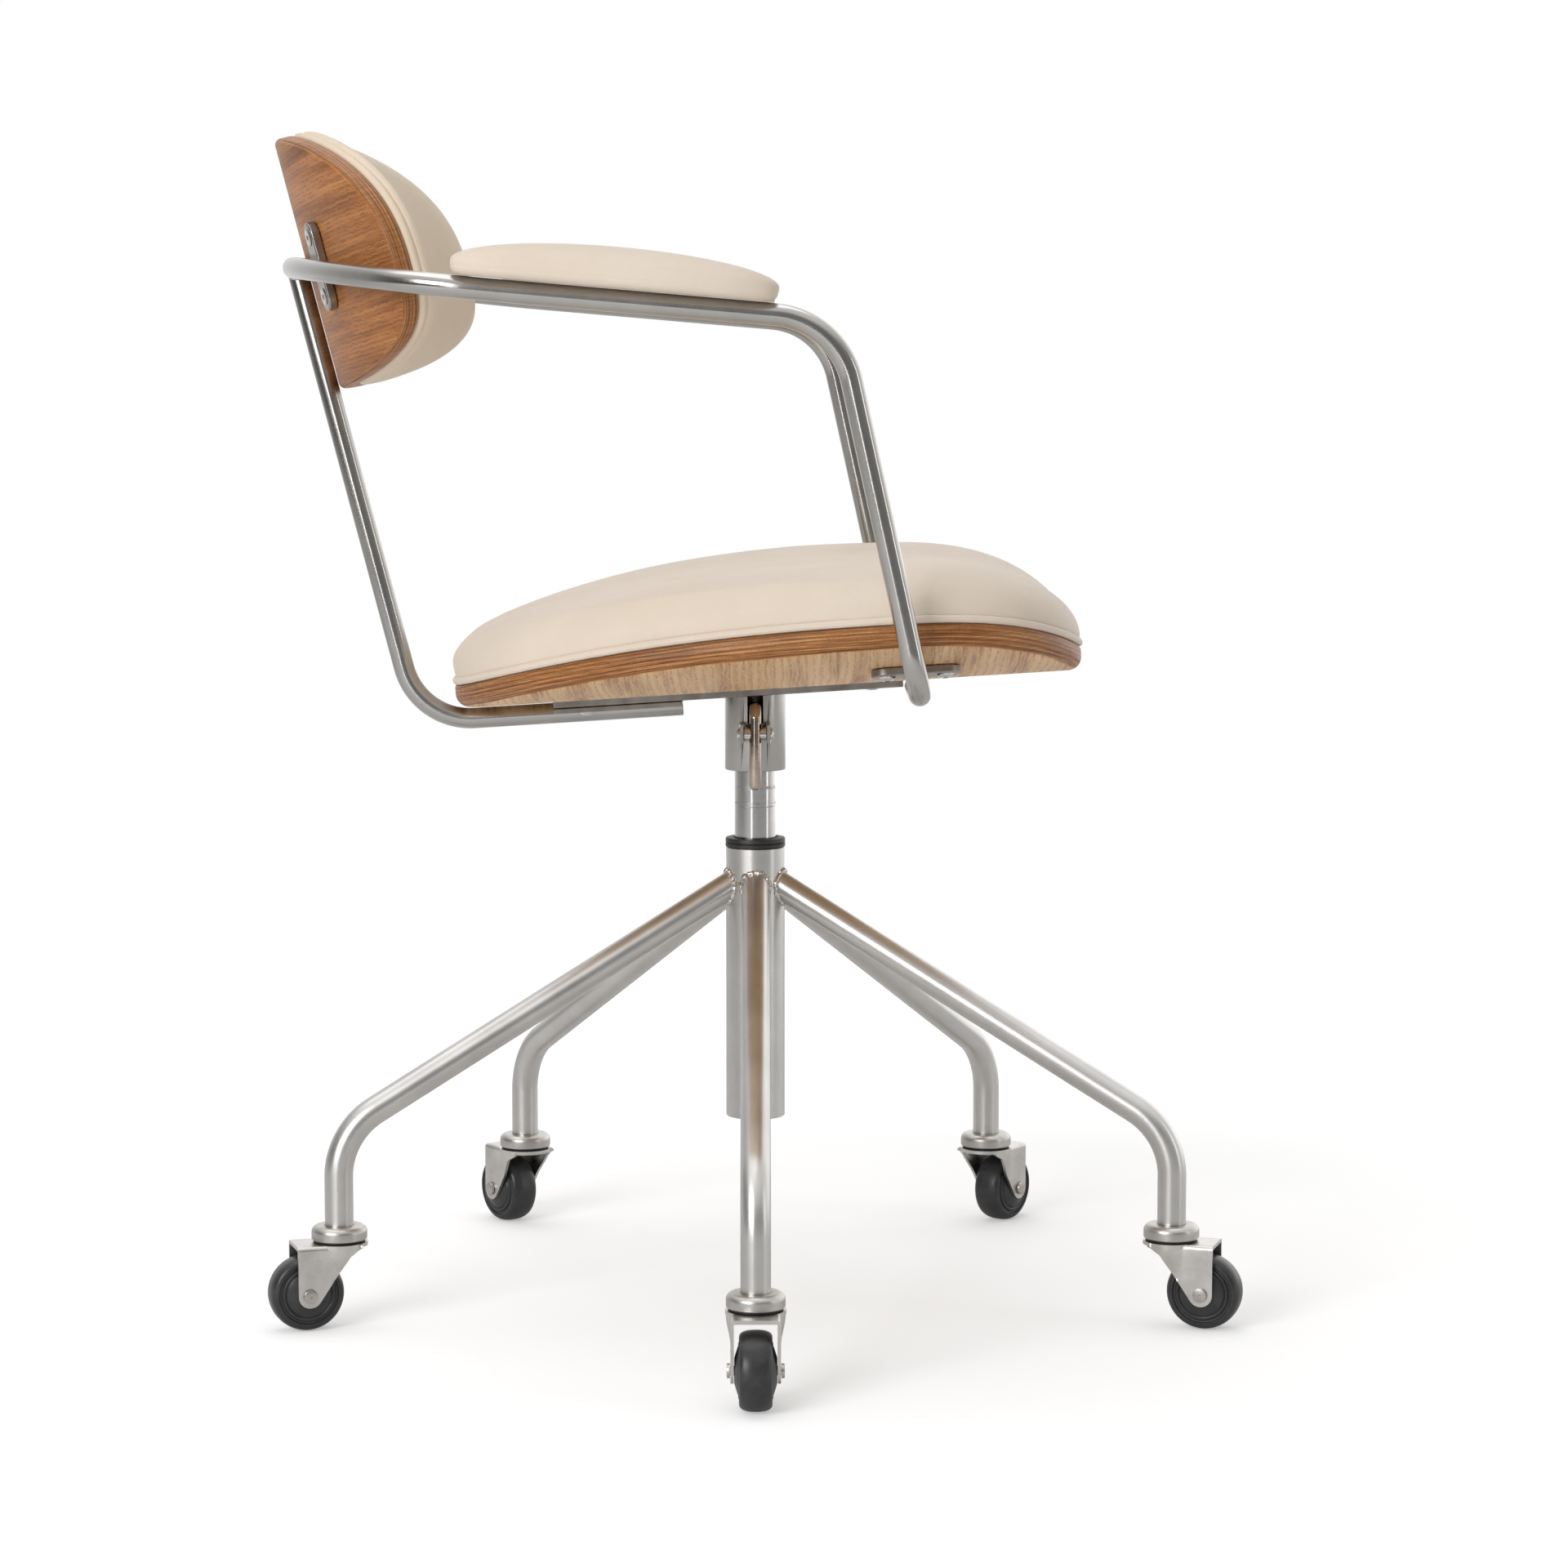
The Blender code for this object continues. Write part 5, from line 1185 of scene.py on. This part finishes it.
def make_socket():
    """The socket under the seat bar, with its slot and two welded ears."""
    bore = LIFT_R + GAP
    rise = math.tan(SEAT_TILT)
    bend = SOCKET_ROUND / 3
    sections = [(bore, SOCKET_BOTTOM_Z, 0), (SOCKET_R - SOCKET_ROUND, SOCKET_BOTTOM_Z, 0),
                (SOCKET_R - bend, SOCKET_BOTTOM_Z + bend, 0), (SOCKET_R, SOCKET_BOTTOM_Z + SOCKET_ROUND, 0),
                (SOCKET_R, SEAT_BAR_Z, rise), (bore, SEAT_BAR_Z, rise)]
    rings = [[(x, y, z + slope * x) for x, y in circle(radius, FINE)] for radius, z, slope in sections]
    sleeve = skin("socket_sleeve", rings, TURN * SOCKET_R, ring_shaped=True)
    ear_low = PIVOT_Z - EAR_H / 2
    steps = []
    for side in (-1, 1):
        near, far = sorted((side * EAR_INSIDE, side * (EAR_INSIDE + EAR_T)))
        ear = box_plate("ear", near, far, EAR_OUT_Y, -SOCKET_R + EAR_SINK, ear_low, ear_low + EAR_H)
        steps.append((ear, "UNION"))
    slot = box_plate("slot", -SLOT_W / 2, SLOT_W / 2, -SOCKET_R - CUT_PAST, 0, SLOT_BOTTOM_Z,
                     SEAT_BAR_Z + CUT_PAST)
    steps.append((slot, "DIFFERENCE"))
    bevelled(shown("socket_sleeve", shaped("socket_sleeve", sleeve, steps), "seat", SOCKET_STEEL,
                   replaces=["lift_socket"]), FINE_BEVEL)
    for side in (-1, 1):
        x = side * (EAR_INSIDE + EAR_T / 2)
        y = -math.sqrt(SOCKET_R ** 2 - x ** 2) - EAR_WELD_IN
        rim = [(x + side * EAR_WELD_HALF_W * math.cos(angle), y, PIVOT_Z + EAR_H / 2 * math.sin(angle))
               for angle in full_turn(SCREW_SEGMENTS)]
        shown("ear_weld_" + str(side), bead("ear_weld", rim, EAR_WELD_R, 5 + side), "seat", WELD)


def make_lift():
    """The lift's tube, and the lever with its sleeve and pin."""
    top = LIFT_TOP_Z - LIFT_CHAMFER
    data = turned("lift_tube", [
        (AXIS_R, top), (LIFT_R - LIFT_CHAMFER, top), (LIFT_R, top - LIFT_CHAMFER), (LIFT_R, LIFT_BOTTOM_Z),
        (LIFT_R - LIFT_WALL, LIFT_BOTTOM_Z), (AXIS_R, LIFT_BOTTOM_Z)])
    shown("lift_tube", data, "seat", LIFT_STEEL, replaces=["lift_cylinder"])
    make_socket()

    reach = PIVOT_REACH + LEVER_FORWARD
    path = rounded_path([(0, -reach, LEVER_FOOT_Z), (0, -reach, LEVER_ARM_Z),
                         (0, LEVER_TIP_PAST, LEVER_ARM_Z)], [LEVER_BEND_R])
    # The lever wears the chrome copy with painted shade and a painted reflection of the oak
    shown("lever_rod", tube("lever_rod", path, LEVER_R, LEVER_END_ROUND), "lever", LEVER_CHROME_PAINTED_SHADE_AND_REFLECTION,
          replaces=["lift_lever"])
    half = EAR_INSIDE - GAP
    sleeve = turned("lever_sleeve", mirrored([(SLEEVE_R, half - SLEEVE_CHAMFER),
                                              (SLEEVE_R - SLEEVE_CHAMFER, half), (AXIS_R, half)]))
    shown("lever_sleeve", sleeve, "lever", CHROME,
          CHAIR @ set_at((0, -PIVOT_REACH, PIVOT_Z), (0, QUARTER, 0)))
    head = turned("pin_head", [
        (AXIS_R, 0), (LEVER_PIN_HEAD_R, 0), (LEVER_PIN_HEAD_R, LEVER_PIN_HEAD_T * 0.6),
        (LEVER_PIN_HEAD_R * 0.7, LEVER_PIN_HEAD_T), (AXIS_R, LEVER_PIN_HEAD_T)], SMALL_SEGMENTS)
    out = EAR_INSIDE + EAR_T + GAP
    for side, name, nodes in ((-1, "rear", []), (1, "front", ["lever_pin"])):
        place = CHAIR @ set_at((side * out, -PIVOT_REACH, PIVOT_Z), (0, side * QUARTER, 0))
        shown("pin_head_" + name, head, "seat", CHROME, place, nodes)


def make_column():
    """The column tube, and the black bush at its top."""
    under = COLUMN_FLOOR_Z - COLUMN_FLOOR_T
    lip = COLUMN_LIP
    data = turned("column_tube", [
        (COLUMN_FLOOR_BORE_R, under), (COLUMN_BORE_R, under),
        (COLUMN_BORE_R, COLUMN_BOTTOM_Z + lip), (COLUMN_BORE_R + lip, COLUMN_BOTTOM_Z),
        (COLUMN_R - lip, COLUMN_BOTTOM_Z), (COLUMN_R, COLUMN_BOTTOM_Z + lip),
        (COLUMN_R, COLUMN_TOP_Z - lip), (COLUMN_R - lip, COLUMN_TOP_Z), (COLUMN_BORE_R, COLUMN_TOP_Z),
        (COLUMN_BORE_R, COLUMN_FLOOR_Z), (COLUMN_FLOOR_BORE_R, COLUMN_FLOOR_Z)])
    hole = pin("grub_hole", GRUB_R, GRUB_LOW, GRUB_HIGH)
    hole.transform(set_at((-COLUMN_BORE_R, 0, GRUB_Z), (0, -QUARTER, 0)))
    shown("column_tube", shaped("column_tube", data, [(hole, "DIFFERENCE")]), "base", LEG_STEEL,
          replaces=["base_column"])

    low = COLUMN_TOP_Z + GAP
    top = low + BUSH_FLANGE_T
    bore = LIFT_R + GAP
    rim = COLUMN_R + GAP
    groove = low + BUSH_GROOVE_Z
    bush = turned("bush_ring", [
        (bore, low - BUSH_SLEEVE_L), (COLUMN_BORE_R - GAP, low - BUSH_SLEEVE_L), (COLUMN_BORE_R - GAP, low),
        (rim, low), (rim, groove - BUSH_GROOVE_HALF), (rim - BUSH_GROOVE_DEEP, groove),
        (rim, groove + BUSH_GROOVE_HALF), (rim, top - BUSH_EDGE),
        (rim - BUSH_EDGE * 0.3, top - BUSH_EDGE * 0.3), (rim - BUSH_EDGE, top),
        (bore + BUSH_LIP * 2, top), (bore + BUSH_LIP * 1.5, top - BUSH_LIP), (bore, top - BUSH_LIP)])
    shown("bush_ring", bush, "base", BUSH_BLACK, replaces=["column_bush"])


def make_legs():
    """The five bent legs, and the weld where each meets the column."""
    fall = math.tan(LEG_SLOPE)
    root_z = LEG_CORNER_Z + fall * (STEM_CIRCLE_R - COLUMN_R)
    start = (COLUMN_R - LEG_SINK, 0, root_z + fall * LEG_SINK)
    path = rounded_path([start, (STEM_CIRCLE_R, 0, LEG_CORNER_Z), (STEM_CIRCLE_R, 0, COLLAR_TOP_Z)],
                        [LEG_BEND_R])
    leg = tube("leg_tube", path, LEG_R)
    up = Vector((math.sin(LEG_SLOPE), 0, math.cos(LEG_SLOPE)))
    seam = []
    for across, rise in circle(LEG_R, FINE):
        point = Vector((COLUMN_R, across, root_z)) + up * rise
        ahead = math.sqrt(COLUMN_R ** 2 - across ** 2) - point.x
        seam.append(point + Vector((ahead, 0, -ahead * fall)))
    for k, place in enumerate(LEGS):
        number = str(k + 1)
        shown("leg_tube_" + number, leg, "base", LEG_STEEL, place, ["leg_" + number])
        weld = bead("leg_weld_" + number, seam, WELD_R, 10 + k)
        shown("leg_weld_" + number, weld, "base", WELD, place)


def cheek_spread(x, z):
    """How far a cheek of the fork stands out where it runs up into the round top."""
    rim = FORK_PLATE_R - FORK_LIP
    flat = FORK_INSIDE + FORK_CHEEK_T
    widest = flat + (rim - flat) * eased(1 - x / FORK_SPREAD_X)
    if x < 0:
        widest = min(widest, math.sqrt(rim ** 2 - x ** 2))
    top = FORK_TOP_Z - FORK_FOLD_R
    return (widest - flat) * eased((z - FORK_SPREAD_Z) / (top - FORK_SPREAD_Z))


def finer(outline, step):
    """A closed outline with its long edges cut into steps."""
    made = []
    for start, end in zip(outline, outline[1:] + outline[:1]):
        parts = max(1, math.ceil(math.dist(start, end) / step))
        for i in range(parts):
            share = i / parts
            made.append((start[0] + (end[0] - start[0]) * share, start[1] + (end[1] - start[1]) * share))
    return made


def folded(half, top, radius, steps):
    """A folded section's face, from one cheek's foot over the top to the other's."""
    corner = (half - radius, top - radius)
    far_corner = (radius - half, top - radius)
    over = arc(corner, radius, 0, QUARTER, steps) + arc(far_corner, radius, QUARTER, 2 * QUARTER, steps)
    return [(half, 0.0)] + over + [(-half, 0.0)]


def fork_mesh():
    """The stamped fork: a folded U cut to the side's outline, joined to the round top."""
    under = FORK_TOP_Z - FORK_PLATE_T
    front_x = CASTER_TRAIL + FORK_NOSE_R
    outer = folded(FORK_INSIDE + FORK_CHEEK_T, FORK_TOP_Z, FORK_FOLD_R, CORNER_STEPS)
    inner = folded(FORK_INSIDE, under, FORK_FOLD_R - FORK_CHEEK_T, CORNER_STEPS // 2)
    section = finer(outer[::-1] + inner, FORK_STEP)
    count = math.ceil((front_x - FORK_HEEL_X) / FORK_STEP) + 4
    stations = [FORK_HEEL_X + FORK_STEP * (i - 2) for i in range(count + 1)]
    rings = [[(x, y + math.copysign(cheek_spread(x, z), y), z) for y, z in section] for x in stations]
    channel = skin("channel", rings, PLATE_LIE)
    shoulder = Vector((FORK_SHOULDER_X, under - FORK_SHOULDER_DROP))
    to_axle = Vector((CASTER_TRAIL, WHEEL_R)) - shoulder
    tangent = math.atan2(to_axle.y, to_axle.x) - QUARTER - math.asin(FORK_NOSE_R / to_axle.length)
    nose = arc((CASTER_TRAIL, WHEEL_R), FORK_NOSE_R, tangent, 0, 2 * CORNER_STEPS)
    over = FORK_TOP_Z + CUT_OVER
    side = [(FORK_HEEL_X, over), (FORK_HEEL_X, under), tuple(shoulder)] + nose + [(front_x, over)]
    profile = skin("profile", [[(x, y, z) for x, z in side] for y in (-CUT_HALF, CUT_HALF)], PLATE_LIE)
    top = plate("disc", circle(FORK_PLATE_R, 6 * CORNER_STEPS), under, FORK_TOP_Z)
    hole = pin("axle_hole", AXLE_R + GAP, -CUT_HALF, CUT_HALF)
    hole.transform(AXLE)
    return shaped("fork", channel, [(profile, "INTERSECT"), (top, "UNION"), (hole, "DIFFERENCE")])


def wheel_mesh():
    """A wheel with a crowned tread and two grooves a side, its axis along Z."""
    half = []
    for turn in quarter_turn(ROUND_STEPS):
        across = math.sin(turn) ** (2 / TREAD_POWER)
        fall = 1 - max(0.0, math.cos(turn)) ** (2 / TREAD_POWER)
        half.append((WHEEL_R - TREAD_DROP * fall, WHEEL_HALF * across))
    low, middle, high = [WHEEL_HALF + rise for rise in WEB_RISES]
    groove = WHEEL_HALF - GROOVE_DEEP
    half += softened([
        half.pop(), (GROOVE_R + GROOVE_W, WHEEL_HALF), (GROOVE_R + GROOVE_W * 0.6, groove),
        (GROOVE_R - GROOVE_W * 0.6, groove), (GROOVE_R - GROOVE_W, low), (RING_R + RING_W, middle),
        (RING_R, middle - RING_DEEP), (RING_R - RING_W, high), (HUB_R + HUB_CHAMFER, HUB_HALF - HUB_DROP),
        (HUB_R - HUB_CHAMFER, HUB_HALF), (AXLE_R + GAP, HUB_HALF)], WHEEL_SOFT)
    return turned("wheel", half[::-1] + [(radius, -z) for radius, z in half[1:]])


def collar_mesh():
    """The collar under a leg, with the stem's riveted foot below it."""
    under = FORK_TOP_Z - FORK_PLATE_T
    foot = under - RIVET_T
    profile = softened([
        (AXIS_R, foot), (RIVET_R - RIVET_CHAMFER, foot), (RIVET_R, foot + RIVET_CHAMFER),
        (RIVET_R, under - GAP), (STEM_PIN_R, under - GAP), (STEM_PIN_R, COLLAR_BOTTOM_Z),
        (COLLAR_R - COLLAR_BREAK, COLLAR_BOTTOM_Z), (COLLAR_R, COLLAR_BOTTOM_Z + COLLAR_BREAK_Z)],
        COLLAR_SOFT)
    for turn in quarter_turn(CORNER_STEPS):
        profile.append((COLLAR_R - COLLAR_ROUND * (1 - math.cos(turn)),
                        COLLAR_TOP_Z - COLLAR_ROUND * (1 - math.sin(turn))))
    cup = COLLAR_TOP_Z - COLLAR_CUP
    profile += [(LEG_R + COLLAR_CUP_RIM * 2, COLLAR_TOP_Z), (LEG_R + COLLAR_CUP_RIM, cup), (AXIS_R, cup)]
    return turned("collar", profile)


def make_casters():
    """Five casters: collar and seal on the leg, and fork, axle and wheel on the swivel."""
    collar = collar_mesh()
    inside = STEM_PIN_R + GAP
    low = FORK_TOP_Z + GAP
    high = COLLAR_BOTTOM_Z - GAP
    # The seal fills the gap under the collar; its near-black tone is partly painted shade of the gap
    section = [(inside, low), (SEAL_R, low), (SEAL_R, high), (inside, high)]
    seal = turned("seal", softened(section, SEAL_SOFT))
    fork = fork_mesh()
    wheel = wheel_mesh()
    at = FORK_INSIDE + FORK_CHEEK_T + GAP
    top = at + AXLE_HEAD_T
    head = [(AXLE_R, at), (AXLE_HEAD_R, at), (AXLE_HEAD_R, top - AXLE_EDGE),
            (AXLE_HEAD_R - AXLE_EDGE * 0.4, top - AXLE_EDGE * 0.2), (AXLE_HEAD_R - AXLE_EDGE, top)]
    head += [(radius, top - drop) for radius, drop in AXLE_DIMPLE]
    axle = turned("axle", mirrored(head), SCREW_SEGMENTS)
    for k, leg in enumerate(LEGS):
        number = str(k + 1)
        place = leg @ set_at((STEM_CIRCLE_R, 0, 0))
        shown("collar_" + number, collar, "base", COLLAR_STEEL, place, ["caster_stem_" + number])
        shown("seal_" + number, seal, "base", SEAL_WITH_PAINTED_GAP_SHADE, place)
        bevelled(shown("fork_" + number, fork, "caster_" + number, FORK_STEEL, place,
                       ["caster_fork_" + number]), FINE_BEVEL)
        shown("axle_" + number, axle, "caster_" + number, NICKEL, place @ AXLE, ["caster_axle_" + number])
        shown("wheel_" + number, wheel, "wheel_" + number, TREAD, place @ AXLE, ["caster_wheel_" + number])


def finish_hidden_nodes():
    """Finishes for the inner nodes that stay as packed."""
    for node, look in (("piston_rod", CHROME), ("retaining_clip", PLATE_STEEL),
                       ("thrust_bearing", PLATE_STEEL), ("release_pin", CHROME), ("bush_screw", SEAL_WITH_PAINTED_GAP_SHADE)):
        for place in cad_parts[node].material_slots:
            place.material = look.material


def make_room(scene):
    """White to the camera, an even light, and walls and a ceiling for what is polished."""
    scene.world = bpy.data.worlds.new("studio")
    scene.world.use_nodes = True
    room = Nodes(scene.world.node_tree)
    ambient = room.tree.nodes["Background"]
    room.feed(ambient.inputs["Color"], AMBIENT_COLOR)
    room.feed(ambient.inputs["Strength"], AMBIENT_STRENGTH)
    white = room.node("Background", {"Color": WHITE, "Strength": 1.0})
    spot = room.axes(room.node("TexCoord").outputs["Generated"])
    walls = room.times(room.remap(spot["Y"], *WALL_DEPTH), room.remap(spot["X"], *WALL_SIDES))
    ceiling = room.remap(spot["Z"], *CEILING)
    seen = room.node("Background", {"Color": room.calc("MAXIMUM", walls, ceiling), "Strength": 1.0})
    rays = room.node("LightPath").outputs
    shiny = room.node("MixShader", {0: rays["Is Glossy Ray"], 1: ambient.outputs[0], 2: seen.outputs[0]})
    direct = room.calc("MAXIMUM", rays["Is Camera Ray"], rays["Is Transmission Ray"])
    whole = room.node("MixShader", {0: direct, 1: shiny.outputs[0], 2: white.outputs[0]})
    room.feed(room.tree.nodes["World Output"].inputs["Surface"], whole.outputs[0])


def make_floor():
    """A pale floor that runs out into the white."""
    look = Look("studio_floor", None, {"Roughness": 0.9, "Specular IOR Level": 0.1})
    dull, bright = FLOOR_TONES
    tone = look.ramp(look.noise(look.place, 3), (0.3, dull), (0.7, bright))
    look.feed(look.shader.inputs["Base Color"], tone)
    away = look.node("VectorMath", {0: look.place}, operation="LENGTH").outputs["Value"]
    glow = look.remap(away, *FLOOR_GLOW)
    camera_ray = look.node("LightPath").outputs["Is Camera Ray"]
    lift = look.node("Emission", {"Strength": look.times(camera_ray, glow)})
    both = look.node("AddShader", {0: look.shader.outputs[0], 1: lift.outputs[0]})
    look.feed(look.tree.nodes["Material Output"].inputs["Surface"], both.outputs[0])
    slab = plate("studio_floor", circle(FLOOR_R, FLOOR_SEGMENTS), -FLOOR_T, -FLOOR_DROP)
    floor = linked("studio_floor", slab)
    floor.data.materials.append(look.material)


def make_studio():
    """White room, pale floor, soft boxes and the camera of the photograph."""
    scene = bpy.context.scene
    scene.view_settings.view_transform = "Standard"
    make_room(scene)
    make_floor()
    for name, place, aim, size, power in LIGHTS:
        data = bpy.data.lights.new(name, "AREA")
        data.shape = "RECTANGLE"
        data.size, data.size_y = size
        data.energy = power
        light = linked(name, data)
        light.location = place
        light.rotation_euler = (Vector(aim) - Vector(place)).to_track_quat("-Z", "Y").to_euler()

    lens = bpy.data.cameras.new("camera")
    lens.lens = LENS_MM
    lens.sensor_width = SENSOR_MM
    scene.camera = linked("camera", lens)
    scene.camera.location = CAMERA_PLACE
    scene.camera.rotation_euler = CAMERA_TURN


BACK = CHAIR @ set_at(back_origin(), (0, -BACK_TILT, 0))
LEGS = [CHAIR @ Matrix.Rotation(FIRST_LEG_AZIMUTH + angle, 4, "Z") for angle in full_turn(LEG_COUNT)]
AXLE = set_at((CASTER_TRAIL, 0, WHEEL_R), (QUARTER, 0, 0))

make_seat()
make_back()
make_pads()
make_frame()
make_brackets()
make_lift()
make_column()
make_legs()
make_casters()
finish_hidden_nodes()
make_studio()
